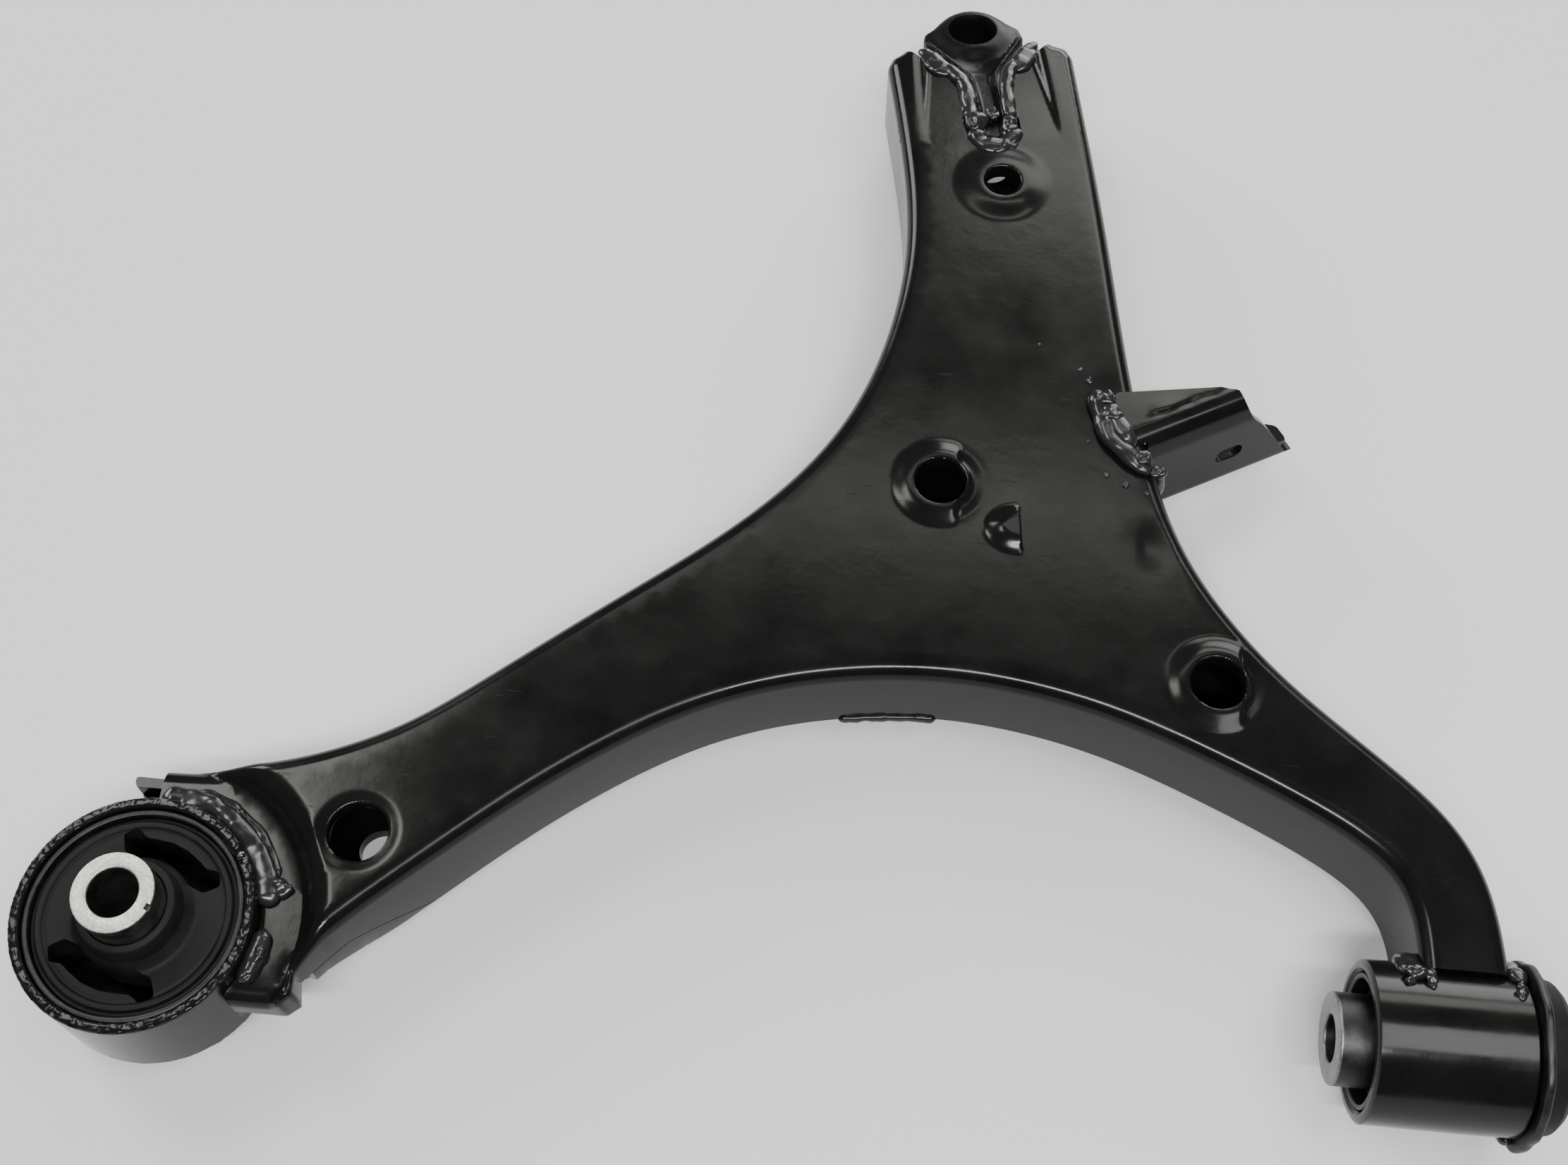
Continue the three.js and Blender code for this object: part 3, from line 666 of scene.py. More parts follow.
def pressing(side, holes):
    """The outside of one shell as a solid block, its skin up, before it is hollowed."""
    outline, opens = shell_outline(side)
    loops = [outline, *(arc(x, y, r, 0, 360, 0.9)[:-1] for x, y, r in holes)]
    rows = [(WALLS[side], False, [FILLET * q for q in QUARTER])]
    step_rings = STEP[side][0] + np.array([-0.4, 0, 0.4, 1.2, 2.4, 4, 6, 8, 10])
    extra = [(rings_round(0, 0, step_rings, 1.6), 0.35)]
    if side > 0:
        for h in HOLES:
            lip = h["radius"] + np.array([0.12, 0.35, 0.65, 1.1])
            radii = np.r_[lip, np.arange(h["crown"] - 0.7, h["foot"] + 1, 0.6)]
            extra.append((rings_round(h["x"], h["y"], radii, 0.9), 0.12))
        dome, dent = grid_of((227, 246, 0.6), (133, 157, 0.7)), grid_of((266, 292, 1.4), (130, 156, 1.4))
        flutes = grid_of((188, 258, 0.9), (298, 348, 1.4))
        extra += [(edge_rows(), 0.12), (np.vstack([dome, dent, flutes]), 0.4)]
    xy, faces = plan_mesh(loops, rows, others=opens, extra=extra, spacing=4.0)
    z = skin_height(*xy.T, side) - rounding(distance(xy, WALLS[side]), FILLET)
    return filled(xy, faces, z, -FAR)


def hollow(side):
    """The space inside one shell; half a sheet more stays under the skin, which its pressings sink into."""
    left, right, rear = (shifted(line, -SHEET) for line in WALLS[1])
    outline = loop([(-60, 43)], left[:-4], [(192, 420), (250, 420)], right[3:], [(378.8, -60), (360.3, -60)],
                   rear[:-14], [(48, -17.9), (-60, -17.9)])
    outline = respaced(outline, 2.0)
    walls = [left[:-4], right[3:], rear[:-14]]
    rows = [(walls, False, [(FILLET - SHEET) * q for q in QUARTER[1::2]])]
    extra = [(rings_round(0, 0, (46, 48, 50, 52, 54.5, 57), 2.5), 1.0)]
    xy, faces = plan_mesh([outline], rows, extra=extra, spacing=8.0)
    z = skin_height(*xy.T, side, pressed=False) - 1.5 * SHEET - rounding(distance(xy, walls), FILLET - SHEET)
    return filled(xy, faces, z, -2 * FAR)


def below_seam(drop):
    """Everything below the seam, which climbs beside the ring."""
    low, climbed = SEAM - drop, NECK_SEAM - drop
    neck = turned([(2, -FAR), (NECK_FAR, -FAR), (NECK_FAR, low), (NECK_NEAR, climbed), (2, climbed)])
    return carve(box((-FAR, -FAR, -FAR - 10), (6 * FAR, 6 * FAR, low)), neck, operation="UNION")


def on_swing_axis(made):
    """Lays a body drawn about Z along the swing axis, its top toward the front."""
    return moved(made, Matrix.Translation((BUSH_SPACING, 0, 0)) @ Matrix.Rotation(math.pi / 2, 4, "Y"))


def collar_room():
    return on_swing_axis(prism(arc(0, 0, COLLAR_RADIUS + 0.4, 0, 360, 1.125)[:-1], -FAR / 2, FAR / 2))


def upper_shell():
    holes = [(h["x"], h["y"], h["radius"]) for h in HOLES]
    made = carve(pressing(1, holes), hollow(1), below_seam(0), collar_room())
    show(made, "upper_shell_pressing", "black_paint", "upper_shell")


def lower_shell():
    """The lower pressing, drawn skin up and mirrored, with its near corner beside the ring cut away."""
    made = carve(pressing(-1, LOWER_HOLES), hollow(-1))
    moved(made, Matrix.Scale(-1, 4, (0, 0, 1)))
    corner = eased([(30, -12.5), (26, -60), (62, -60), (52.5, -9.5), (46, -6.5), (38.5, -11)], 0.5)
    carve(made, prism(corner, -FAR, FAR))
    carve(made, below_seam(SEAM_GAP), operation="INTERSECT")
    carve(made, collar_room())
    show(made, "lower_shell_pressing", "black_paint", "lower_shell")


upper_shell()
lower_shell()


# ---------------- surface detail and swept bodies
def vertex_data(values, name):
    """A vector for each vertex, as rows of numbers."""
    flat = np.empty(3 * len(values))
    values.foreach_get(name, flat)
    return flat.reshape(-1, 3)


def points_of(made):
    return vertex_data(made.data.vertices, "co")


def reshape(made, points):
    made.data.vertices.foreach_set("co", np.ascontiguousarray(points).ravel())
    made.data.update()
    return made


def grain(points, size, seed):
    """Noise from -1 to 1 at each point, with bumps about size millimetres long."""
    shift = Vector((seed * 13.7, seed * 5.1, seed * 9.3))
    return np.array([noise.fractal(Vector(p) / size + shift, 0.8, 2.1, 1) for p in points])


def roughened(made, amount, size, seed, where=None):
    """Moves a surface in and out along its normals by noise; where weighs each point."""
    points = points_of(made)
    weight = 1.0 if where is None else where(*points.T)
    out = vertex_data(made.data.vertex_normals, "vector")
    return reshape(made, points + out * (amount * weight * grain(points, size, seed))[:, None])


def outward(made):
    """Turns a closed body's faces outward."""
    solid = bmesh.new()
    solid.from_mesh(made.data)
    if solid.calc_volume(signed=True) < 0:
        made.data.flip_normals()
    solid.free()
    return made


def swept(rings):
    """A closed body through rings of points, with flat ends."""
    n = len(rings[0])
    last = (len(rings) - 1) * n
    faces = [(k + i, k + (i + 1) % n, k + n + (i + 1) % n, k + n + i)
             for k in range(0, last, n) for i in range(n)]
    return outward(body(np.vstack(rings), [*faces, tuple(range(n))[::-1], tuple(range(last, last + n))]))


def radial_blend(made, axis):
    """Bakes a rubber body's placement into its mesh and reads its points in millimetres from the sleeve's
    axis, without moving them.
    """
    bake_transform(made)
    points = points_of(made) / MM - np.array(axis) / MM


# ---------------- rear bush
JOINT_PLACE = (33 * math.cos(math.radians(35)), 33 * math.sin(math.radians(35)))   # of the ring's butt joint


def rear_ring():
    section = tube_section(RING_RADIUS - RING_WALL, RING_RADIUS, -RING_HALF, RING_HALF, [0.7] * 4)
    ring = turned(respaced(section, 0.5), 420)
    points = points_of(ring)
    away = np.hypot(points[:, 0] - JOINT_PLACE[0], points[:, 1] - JOINT_PLACE[1])
    points[:, 2] -= np.sign(points[:, 2]) * 1.1 * np.exp(-(away / 1.3)**2) * (np.abs(points[:, 2]) > 12)
    reshape(ring, points)
    roughened(ring, 0.17, 0.9, 3, lambda x, y, z: smoothstep((np.abs(z) - 15.2) / 1.2))
    show(ring, "rear_ring_tube", "black_paint", "rear_ring")


def rear_bush_shell():
    outer = RING_RADIUS - RING_WALL - GAP
    section = tube_section(outer - SHELL_WALL, outer, -SHELL_HALF, SHELL_HALF, [0.6] * 4)
    show(turned(section, 160), "rear_bush_shell", "dark_steel", "rear_bush_outer_sleeve")


def void_cutter(start, end):
    """Cutters for a kidney-shaped void whose ends flare outward; a thin web of rubber closes it midway, a
    dark sheet standing in for the shade down the void.
    """
    corners = ((start - 8, 19.5, 1.5), (start - 7, 24.5, 1.5), (start + 3, 25.6, 1.6), (start + 9, 22.8, 3),
               *((a, VOID_OUTER, 6) for a in np.linspace(start + 16, end - 16, 4)),
               (end - 9, 22.8, 3), (end - 3, 25.8, 1.6), (end + 7, 25.2, 1.5), (end + 8, 19.5, 1.5),
               *((a, VOID_INNER, 5) for a in np.linspace(end - 4, start + 4, 6)))
    plan = [(r * math.cos(math.radians(a)), r * math.sin(math.radians(a)), own) for a, r, own in corners]
    line = respaced(eased(plan, 0), 0.8)
    # the web left between the two cutters is a dark sheet in place of shade
    return prism(line, -6.5, FAR), prism(line, -FAR, -9)


def rear_bush_rubber():
    outer = RING_RADIUS - RING_WALL - SHELL_WALL - 2 * GAP
    inner, half = REAR_SLEEVE + GAP, RUBBER_HALF
    corners = [(inner, -19, 0.5), (inner + 1.6, -18.8, 0.8), (HUB_RADIUS, -half, 1.5), (24.8, -half, 0.5),
               (25.4, -half - 0.7, 0.5), (27, -half - 0.7, 0.6), (27.8, 0.8 - half, 0.6),
               (outer, 0.8 - half, 0.3), (outer, half - 1.2, 0.3), (27.9, half - 1.2, 0.6),
               (27.4, half + 0.5, 0.6), (26, half + 0.5, 0.7), (25.2, half - 0.5, 0.6),
               (24.2, half - 0.2, 0.5), (HUB_RADIUS + 1.4, half - 0.2, 2.2),
               (HUB_RADIUS - 1.2, half + 3, 1.2), (inner + 1.9, half + HUB_RISE - 0.8, 0.9),
               (inner, half + HUB_RISE, 0.3)]
    made = carve(turned(eased(corners, 0, 4), 160), *(tool for span in VOIDS for tool in void_cutter(*span)))
    show(made, "rear_bush_rubber_body", "rubber", "rear_bush_rubber", None, 45)
    radial_blend(made, REAR_BUSH)


def rear_bush_sleeve():
    made = turned(tube_section(REAR_BORE, REAR_SLEEVE, *REAR_ENDS, (0.5, 0.4, 0.3, 0.6)), 128)
    at_rim = Matrix.Rotation(math.radians(-17), 4, "Z") @ Matrix.Translation((REAR_SLEEVE, 0, REAR_ENDS[1]))
    carve(made, moved(box((-1.2, -0.9, -1.4), (1.5, 0.9, 2)), at_rim))
    show(made, "rear_bush_sleeve", "bright_steel", "rear_bush_inner_sleeve", "rear_sleeve", 30)


rear_ring()
rear_bush_shell()
rear_bush_rubber()
rear_bush_sleeve()


# ---------------- front bush
def front_collar():
    section = tube_section(COLLAR_RADIUS - COLLAR_WALL, COLLAR_RADIUS, -COLLAR_HALF, COLLAR_HALF,
                           (0.9, 0.9, 0.8, 0.6))
    made = on_swing_axis(turned(resampled(section, 1.5), 160))
    show(made, "front_collar_tube", "black_paint", "front_collar")


def flanged_sleeve():
    """The pressed-in sleeve, whose flange has a slightly wavy rim."""
    outer = COLLAR_RADIUS - COLLAR_WALL - GAP
    inner, near = outer - FRONT_SHELL_WALL, COLLAR_HALF + GAP
    corners = [(inner, 0.5 - COLLAR_HALF, 0.6), (outer, 0.5 - COLLAR_HALF, 0.6), (outer, near, 0.3),
               (FLANGE_RADIUS, near, 0.9), (FLANGE_RADIUS, near + FLANGE_THICK, 1.0),
               (inner, near + FLANGE_THICK, 0.4)]
    made = turned(eased(corners, 0, 4), 180)
    points = points_of(made)
    angle, radius = np.arctan2(points[:, 1], points[:, 0]), np.hypot(points[:, 0], points[:, 1])
    wave = 0.35 * np.sin(5 * angle + 0.7) + 0.25 * np.sin(9 * angle) + 0.15 * np.sin(17 * angle + 2)
    points[:, :2] *= (1 + smoothstep((radius - 22) / 4) * (wave - 0.5) / FLANGE_RADIUS)[:, None]
    show(on_swing_axis(reshape(made, points)), "front_bush_flange", "dark_steel", "front_bush_flanged_sleeve")


def front_bush_rubber():
    outer = COLLAR_RADIUS - COLLAR_WALL - FRONT_SHELL_WALL - 2 * GAP
    inner, step = FRONT_SLEEVE + GAP, COLLAR_HALF + FLANGE_THICK + 2 * GAP
    face, recess = step + BUMPER_THICK, FRONT_RECESS - COLLAR_HALF
    corners = [(inner, recess - 0.6, 0.3), (inner + 1, recess, 0.5), (outer - 1, recess + 0.2, 0.5),
               (outer, recess - 0.8, 0.3), (outer, step, 0.3), (BUMPER_RADIUS + 1.2, step, 0.6),
               (BUMPER_RADIUS + 0.9, step + 1.5, 0.8), (BUMPER_RADIUS, face - 2.2, 1.2),
               (BUMPER_RADIUS - 2.2, face, 1.2), (inner + 1, face, 0.5), (inner, face - 0.4, 0.2)]
    made = on_swing_axis(turned(eased(corners, 0, 4), 128))
    show(made, "front_bush_rubber_body", "rubber", "front_bush_rubber", None, 45)
    radial_blend(made, places["front_bush_twist"])


def front_bush_sleeve():
    section = tube_section(FRONT_BORE, FRONT_SLEEVE, *FRONT_ENDS, (0.6, 0.7, 0.7, 0.6))
    made = on_swing_axis(turned(section, 128))
    show(made, "front_bush_sleeve", "dark_steel", "front_bush_inner_sleeve", "front_sleeve")


front_collar()
flanged_sleeve()
front_bush_rubber()
front_bush_sleeve()


# ---------------- ball joint seat
def lip_lines():
    """The two lines that the seat's raised lips follow, in its own frame."""
    knots = [(-17.0, -5.0), (-14.6, -9.0), (-10.6, -15.0), (-7.0, -20.6), (-4.9, -25.5), (-4.1, -33),
             (-4.0, -49)]
    left = spline(knots, 1.0)
    return left, left * (-1, 1)


def web_top(x, y):
    """Height of the web: dished between its lips, climbing to the hole, with a channel down the tail."""
    lips = distance(np.column_stack([x, y]), lip_lines())
    hill = BOSS_PROUD * smoothstep((16.5 - np.hypot(x, y)) / 7.5)
    dish = -1.3 * smoothstep((8 - np.hypot(x * 0.9, y + 17)) / 7)
    channel = -TAIL_FLOOR * smoothstep((3.4 - np.abs(x)) / 1.2) * smoothstep((-22 - y) / 5)
    fade = smoothstep((y + 53) / 4) * smoothstep((2 - y) / 8)
    return hill + dish + channel + fade * RIM_RISE * smoothstep((1.7 - lips) / 1.4)


def seat_web():
    tail = [(0, TAIL_END - 5.2, 4), (TAIL_HALF, TAIL_END, 4.7), (TAIL_HALF, -33, 3), (5.8, -25, 4),
            (11.2, -17, 6)]
    wing = [(17.3, -8.0, 1.2), (18.2, -3, 3), (17.2, 2.2, 3), (13.6, 4.4, 4), (11.6, 6.4, 4),
            *((*p, 4) for p in arc(0, 0.4, 12.4, 40, 84, 2.4))]
    right = tail + wing
    outline = respaced(eased(right + [(-x, y, r) for x, y, r in right[:0:-1]], 0), 1.0)
    rows = [([outline], True, [WEB_EDGE * q for q in QUARTER[::2]])]
    fine = grid_of((-18, 18.1, 0.7), (-60, 13, 0.8))
    xy, faces = plan_mesh([outline], rows, extra=[(fine, 0.45)], spacing=2.0)
    gap = distance(xy, [outline], True)
    return filled(xy, faces, web_top(*xy.T) - rounding(gap, WEB_EDGE), rounding(gap, WEB_UNDER) - WEB_DEPTH)


def ball_joint_seat():
    r, bottom, mouth = BOSS_RADIUS, -SEAT_DEPTH, BOSS_PROUD - 0.05
    hub = turned(eased([(0, bottom, 0), (r - 0.6, bottom, 1.2), (r - 0.2, -6, 0), (0, -6, 0)], 0, 4), 128)
    bore = turned([(0, bottom - 5), (HOLE_BOTTOM - 0.3, bottom - 5), (HOLE_BOTTOM, bottom), (HOLE_TOP, -1.5),
                   (HOLE_TOP + 0.1, mouth - 0.9), (HOLE_TOP + 0.9, mouth), (HOLE_TOP + 2, mouth + 3),
                   (0, mouth + 3)], 128)
    made = carve(carve(seat_web(), hub, operation="UNION"), bore)
    roughened(made, 0.1, 6.0, 5)
    moved(made, at_seat(SEAT_TILT))
    show(made, "ball_joint_seat_forging", "black_forging", "ball_joint_seat", sharp=50)


ball_joint_seat()


# ---------------- side bracket
BRACKET_FOLD = ((13.4, -17.6, 0.8), (1.4, -17.6, 2.2), (0.1, -14.5, 1), (3.0, 12.0, 8), (4.6, 16.6, 4),
                (7.2, 19.4, 3), (10.8, 20.5, 5), (40, 20.5, 0.4), (40, 18.3, 0.4), (11.2, 18.3, 3),
                (8.6, 17.3, 2.5), (6.7, 15.0, 3), (5.4, 11.4, 6), (2.6, -14.2, 1), (3.2, -15.3, 0.8),
                (13.4, -15.3, 0.8))


def folded_sheet():
    """The bracket's fold drawn along +X, with the pinched groove beside the bend on the upper flange."""
    section = respaced(eased(BRACKET_FOLD, 0), 0.9)[::-1]
    made = swept([np.column_stack([np.full(len(section), x), section]) for x in np.arange(-26, 61, 1.0)])
    points = points_of(made)
    x, y, z = points.T
    wander = 0.9 * grain(np.column_stack([x, 0 * x, 0 * x]), 4.0, 71)
    groove = np.exp(-((y - 12.2 - wander) / 1.0)**2) * (0.6 + 0.4 * grain(points, 3.0, 72))
    bump = 0.5 * np.exp(-(((x - 3) / 5)**2 + ((y - 14.5) / 3)**2))
    points[:, 2] += (z > 17.5) * smoothstep((x + 6) / 6) * (0.5 * bump - 0.5 * groove)
    points[:, 2] -= smoothstep((z - 13) / 3) * np.clip(y - 6, 0, None) * 0.085
    return reshape(made, points)


def wall_cutter(outline, near=-60, far=60):
    """A cutter drawn along the bracket's wall and up it, reaching through it."""
    up_wall = Matrix(((1, 0, 0, 0), (0, 0, -1, 0), (0, 1, 0, 0), (0, 0, 0, 1)))
    return outward(moved(prism(outline, near, far), up_wall))


def side_bracket():
    end = spline(((27.5, 20.5), (28.6, 16.5), (31, 11.5), (35.5, 5.5), (40.5, -3), (48.3, -16.5)), 1.2)
    free_end = loop([(27.5, 40)], end[:-2], [(48.6, -15.0), (51, -15.2), (51, -40), (80, -40), (80, 40)])
    round_tab = eased([(48.8, -6), (48.8, 1.5, 1), (50.4, 5.5, 3), (50.0, 10.5, 3), (45.5, 13.6, 2), (45, 20),
                       (80, 20), (80, -6)], 0)
    half = (SLOT_LENGTH - SLOT_WIDTH) / 2
    slot = loop(arc(SLOT_ALONG + half, SLOT_HEIGHT, SLOT_WIDTH / 2, -90, 90, 0.6),
                arc(SLOT_ALONG - half, SLOT_HEIGHT, SLOT_WIDTH / 2, 90, 270, 0.6))
    round_flange = eased([(-60, -20), (-10.9, -20), (-10.9, 0, 6), (-13.4, 15.7, 2), (-8.8, 26.2, 2),
                          (23.0, 13.9, 3), (27.4, 10.6, 3), (30, 6, 2), (60, 6), (60, 60), (-60, 60)], 0)
    made = carve(folded_sheet(), wall_cutter(free_end), wall_cutter(slot, -8, 8),
                 prism(round_flange, 12, FAR), prism(round_tab, -40, -15.1))
    turn = Matrix.Rotation(math.radians(BRACKET_ANGLE), 4, "Z")
    moved(made, Matrix.Translation((*BRACKET_CORNER, 0)) @ turn)
    outline, _ = shell_outline(-1)
    carve(made, prism(shifted(outline, -0.4, closed=True), -30, SKIN[1] + 0.05))
    show(made, "side_bracket_sheet", "black_paint", "side_bracket", sharp=32)


side_bracket()


# ---------------- welds
BEAD_STEP, BEAD_SIDES = 0.45, 22   # spacing of a bead's rings, and the points in each
RIPPLE = 4.1                       # length of a weld ripple


def weld_bead(path, radius, seed, flat=0.85, wide=1.15, up=(0, 0, 1)):
    """A lumpy rippled bead along points, its back toward up, which may be a function of the points."""
    line = spline(path, BEAD_STEP)
    along = np.gradient(line, axis=0)
    along /= np.linalg.norm(along, axis=1)[:, None]
    ups = up(line) if callable(up) else np.broadcast_to(np.array(up, float), line.shape)
    side = np.cross(along, ups)
    side /= np.linalg.norm(side, axis=1)[:, None]
    ups = np.cross(side, along)
    run = np.arange(len(line)) * BEAD_STEP
    taper = np.sqrt(np.clip(np.minimum(run, run[-1] - run) / (1.2 * radius), 0.02, 1))
    swell = 1 + 0.2 * np.array([noise.noise(Vector((s / 4.5, seed * 7.3, 0))) for s in run])
    angles = np.arange(BEAD_SIDES) * 2 * math.pi / BEAD_SIDES
    rings = []
    for i, s in enumerate(run):
        ripple = 1 + 0.012 * np.sin(s * 2 * math.pi / RIPPLE + 0.9 * np.abs(np.cos(angles)))
        r = radius * taper[i] * swell[i] * ripple
        rings.append(line[i] + (r * np.cos(angles) * wide)[:, None] * side[i]
                     + (r * np.sin(angles) * flat)[:, None] * ups[i])
    made = roughened(swept(rings), 0.34 * radius, 2.7 * radius, seed)
    return roughened(made, 0.07 * radius, 1.1 * radius, seed + 0.5)


def blob(place, size, seed):
    """A small lump of spatter; size is a radius, or its half lengths along the three axes."""
    ball = bmesh.new()
    bmesh.ops.create_uvsphere(ball, u_segments=20, v_segments=12, radius=1)
    made = body([], [])
    ball.to_mesh(made.data)
    ball.free()
    stretch = np.array(size if isinstance(size, tuple) else (size, size, 0.7 * size), float)
    reshape(made, points_of(made) * stretch + np.array(place))
    return roughened(made, 0.45 * stretch.mean(), 0.9 * stretch.mean(), seed)


def merged(parts):
    """Several bodies as one mesh."""
    verts, faces, base = [], [], 0
    for part in parts:
        p = points_of(part)
        verts.append(p)
        faces += [tuple(base + v for v in f.vertices) for f in part.data.polygons]
        base += len(p)
        bpy.data.objects.remove(part)
    return body(np.vstack(verts), faces)


def weld(node, *parts):
    show(merged(parts), f"{node}_bead", "painted_weld", node, sharp=60)


def round_path(radius, height, start, end, centre=(0, 0)):
    line = arc(*centre, radius, start, end, 2.0)
    return np.column_stack([line, np.full(len(line), height)])


def ring_welds():
    upper = weld_bead(round_path(36.4, LAND + 1.0, 94, 10), 2.8, 11, 0.7, 1.3)
    over = weld_bead(round_path(38.8, LAND + 0.2, 80, 22), 2.4, 12, 0.5, 1.2)
    lumps = [blob((38.2, 12.5, LAND + 1), (3.6, 2.6, 1.5), 13), blob((20, 32, LAND + 1), (4.6, 2.6, 1.6), 14)]
    weld("weld_ring_upper", upper, over, *lumps)
    front = weld_bead(round_path(36.4, LAND + 0.9, 1, -25), 2.6, 15, 0.9, 1.2)
    drops = [blob((36.6, -7.5, LAND + 2.2), (1.8, 2.6, 1.4), 16),
             blob((34.3, -13.6, LAND + 1.8), (1.9, 1.9, 1.3), 17)]
    weld("weld_ring_front", front, *drops)
    under = round_path(36.3, -LAND - 1.4, 90, -24)
    weld("weld_ring_under", weld_bead(under, 2.8, 18, wide=1.2, up=(0, 0, -1)))


def seat_welds():
    height = SKIN[1] - SEAT_CENTRE[2]
    inner = [(21.2, -11, -3.6), (17, -15.2, -3.1), (12.8, -20.6, -2.6), (8.8, -27, -1.7), (7.0, -35, -1.1),
             (6.8, -49, -0.5)]
    outer = [(20.4, -14.4, -2.6), (15.8, -19.4, -2.2), (11.8, -25.2, -1.9)]
    for name, side, seed in (("weld_seat_left", -1, 21), ("weld_seat_right", 1, 24)):
        beside, beyond = ([(side * x, y, height + z) for x, y, z in line] for line in (inner, outer))
        bead = weld_bead(beside, 2.4, seed, 0.75, 1.1)
        skirt = weld_bead(beyond, 2.9, seed + 1, 0.5, 1.25)
        weld(name, *(moved(part, at_seat()) for part in (bead, skirt)))
    tail = weld_bead(round_path(6.2, height - 0.5, 158, 382, (0, TAIL_END)), 2.7, 27, 0.75, 1.2)
    lumps = [blob((x, y, height + z), size, seed) for x, y, z, size, seed in (
        (-5.6, -49, 0.7, (3.8, 5.0, 1.8), 28), (0.6, -46, 0.4, (2.4, 2.8, 1.5), 29),
        (5.4, -52, 0.6, (3.0, 4.2, 1.6), 31), (1.6, -60.6, -0.2, (6.6, 3.4, 1.5), 30))]
    weld("weld_seat_tail", *(moved(part, at_seat()) for part in (tail, *lumps)))


def bracket_welds():
    outboard = [(264.8, 197.5, 19.3), (265.4, 190, 19.6), (267.6, 183, 19.8), (271.5, 176.5, 19.8),
                (277, 171.5, 19.6), (282, 167.8, 19.0)]
    inboard = [(268.2, 193, 20.0), (270.3, 187, 20.4), (273.6, 181, 20.4), (277, 176.5, 20.0)]
    beads = weld_bead(outboard, 2.7, 31, 0.8, 1.1), weld_bead(inboard, 2.6, 32, 0.75, 1.1)
    lumps = [blob((267.5, 193, 21.4), (3.2, 3.0, 1.6), 33), blob((269.5, 186.5, 21.6), (3.4, 2.6, 1.5), 34),
             blob((279.5, 172.5, 20.6), (3.0, 2.4, 1.5), 35), blob((284.6, 168.3, 18.8), (2.6, 2.2, 1.5), 36)]
    spatter = [blob((x, y, SKIN[1]), size, 40 + i) for i, (x, y, size) in enumerate(
        ((259.5, 205.5, 0.9), (262.5, 201.5, 1.2), (262.8, 178.5, 0.7), (268.5, 166.5, 0.9),
         (274.5, 163.5, 1.1), (281.0, 161.0, 0.8), (246, 214, 0.7)))]
    weld("weld_bracket_flange", *beads, *lumps, *spatter)
    upright = [(286.9, 171.6, -13), (286.9, 171.4, -2), (286.6, 172.4, 8), (285.8, 173.6, 12)]
    weld("weld_bracket_wall", weld_bead(upright, 1.8, 46, up=(0.8, -0.6, 0)))


def round_collar(x, reach, start, end):
    """A line round the swing axis; start and end are degrees from +Y toward +Z."""
    turns = np.radians(np.linspace(start, end, 12))
    return np.column_stack([np.full(12, x), reach * np.cos(turns), reach * np.sin(turns)])


def from_axis(line):
    """Directions away from the swing axis."""
    return line * (0, 1, 1)


def collar_welds():
    rear = weld_bead(round_collar(355.6, 23.2, 2, 52), 2.3, 51, up=from_axis)
    second = weld_bead(round_collar(352.4, 23.0, 24, 50), 1.8, 52, up=from_axis)
    lumps = [blob((355.0, 15.0, 18.6), (3.8, 1.8, 1.6), 53), blob((358.8, 13.4, 19.6), (1.7, 2.8, 1.3), 54),
             blob((352.8, 12.2, 19.4), (1.5, 1.3, 1.1), 59)]
    weld("weld_collar_rear", rear, second, *lumps)
    front = weld_bead(round_collar(383.6, 23.2, 4, 50), 2.2, 55, up=from_axis)
    weld("weld_collar_front", front, blob((382.6, 11.4, 20.0), (1.7, 2.6, 1.3), 56))
    below = [(x, 14.6, -19.6) for x in (359, 370, 380)]
    weld("weld_collar_under", weld_bead(below, 2.4, 57, up=(0, -0.6, -0.8)))
    weld("weld_flange_tack", weld_bead(round_collar(384.8, 23.3, 198, 222), 1.6, 58, up=from_axis))


def seam_welds():
    """Short beads along the seam; each covers part of an edge, from share to share of its length."""
    for node, edge, start, end, seed in (("weld_seam_rear", REAR_EDGE[1:], 0.42, 0.51, 61),
                                         ("weld_seam_left_inner", LEFT_EDGE, 0.24, 0.36, 62),
                                         ("weld_seam_left_outer", LEFT_EDGE, 0.66, 0.78, 63),
                                         ("weld_seam_front_outer", RIGHT_EDGE, 0.2, 0.32, 64),
                                         ("weld_seam_front_inner", RIGHT_EDGE, 0.7, 0.82, 65)):
        line = spline(edge, 0.5)
        part = shifted(line[int(start * len(line)):int(end * len(line))][::6], 0.6)
        path = np.column_stack([part, np.full(len(part), SEAM - 0.2)])
        weld(node, weld_bead(path, 1.3, seed, 1.2, 0.9))


ring_welds()
seat_welds()
bracket_welds()
collar_welds()
seam_welds()


# ---------------- camera, floor and light
CAMERA_PLACE = (0.0177, -0.3160, 0.5556)
CAMERA_ELEVATION, CAMERA_HEADING, CAMERA_ROLL = 62.08, 5.86, -0.55
CAMERA_LENS = 43.72


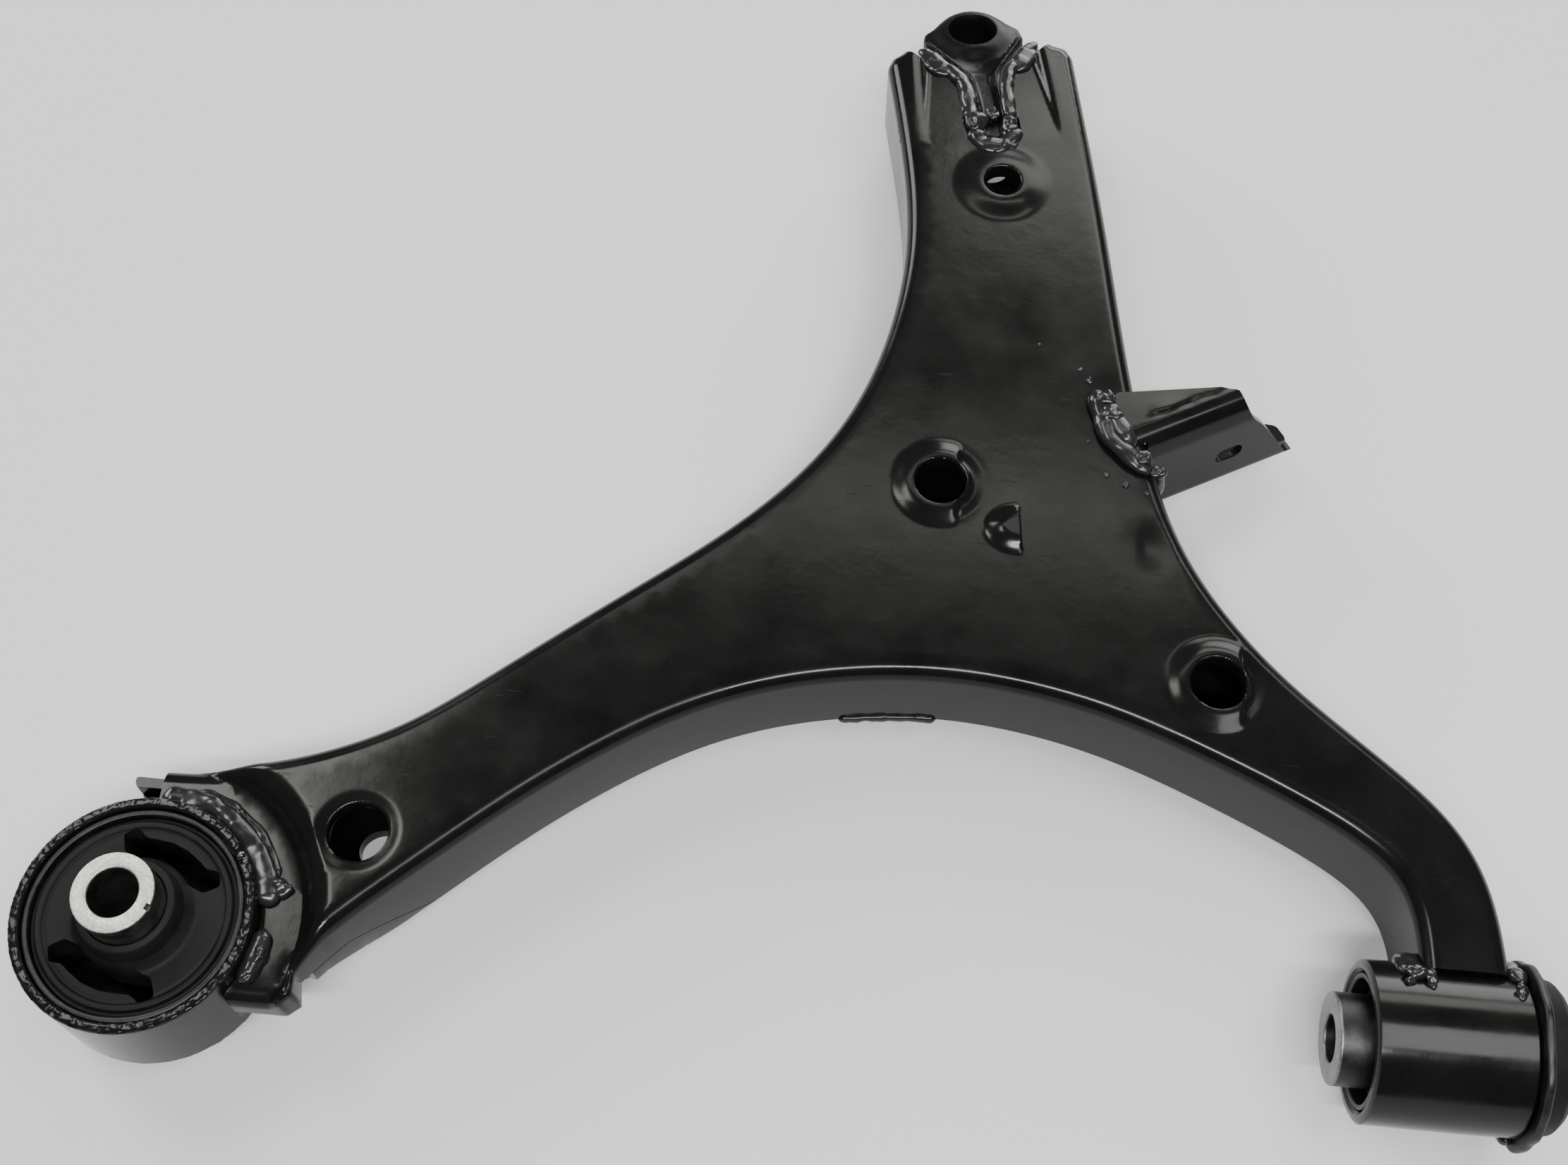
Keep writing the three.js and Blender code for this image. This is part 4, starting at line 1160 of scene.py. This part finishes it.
def camera():
    data = bpy.data.cameras.new("camera")
    data.lens = CAMERA_LENS
    data.sensor_width = 36
    made = placed("camera", data)
    matrix = Matrix.Translation(CAMERA_PLACE)
    for degrees, axis in ((CAMERA_HEADING, "Z"), (90 - CAMERA_ELEVATION, "X"), (CAMERA_ROLL, "Z")):
        matrix @= Matrix.Rotation(math.radians(degrees), 4, axis)
    made.matrix_world = matrix
    bpy.context.scene.camera = made


def area_light(name, place, size, power, tint=(1, 1, 1), aim=None):
    """A rectangular light that faces toward aim, or else straight down."""
    data = bpy.data.lights.new(name, "AREA")
    data.shape = "RECTANGLE"
    data.size, data.size_y = size
    data.energy = power
    data.color = tint
    made = placed(name, data)
    made.location = place
    made.rotation_euler = (Vector(aim or (*place[:2], 0)) - Vector(place)).to_track_quat("-Z", "Y").to_euler()


def studio():
    floor = bpy.data.meshes.new("floor")
    floor.from_pydata([(-9, -9, 0), (9, -9, 0), (9, 9, 0), (-9, 9, 0)], [], [(0, 1, 2, 3)])
    made = placed("floor", floor)
    made.location.z = cad_box[0][2] - 0.0002
    pale = Shader("pale_floor")
    floor.materials.append(pale.set(Base_Color=(0.53, 0.53, 0.53, 1), Roughness=0.9,
                                    Emission_Color=(1, 1, 1, 1), Emission_Strength=0.18))
    world = bpy.data.worlds.new("room")
    world.use_nodes = True
    background = world.node_tree.nodes["Background"].inputs
    background["Color"].default_value = (0.9, 0.92, 1.0, 1)
    background["Strength"].default_value = 0.14
    bpy.context.scene.world = world
    warm = (1.0, 1.0, 0.93)
    area_light("strip", (0.05, -0.92, 1.5), (0.95, 0.09), 31, aim=(0, -0.07, 0))
    area_light("overhead_panel", (0.68, -0.3, 1.5), (0.55, 0.85), 15)
    area_light("band_panel", (0.0, 0.845, 1.5), (0.9, 0.11), 2.1, warm)
    area_light("far_panel", (0.72, 1.73, 1.5), (1.3, 0.95), 25, warm)
    area_light("near_left_panel", (-0.76, 0.46, 1.5), (0.36, 0.5), 8, warm)
    area_light("far_wall", (0.9, 2.6, 0.8), (1.6, 1.2), 46, aim=(0.3, 0, 0.1))
    area_light("left_panel", (-1.6, 1.1, 0.95), (1.0, 0.8), 28, aim=(0, 0, 0))


camera()
studio()
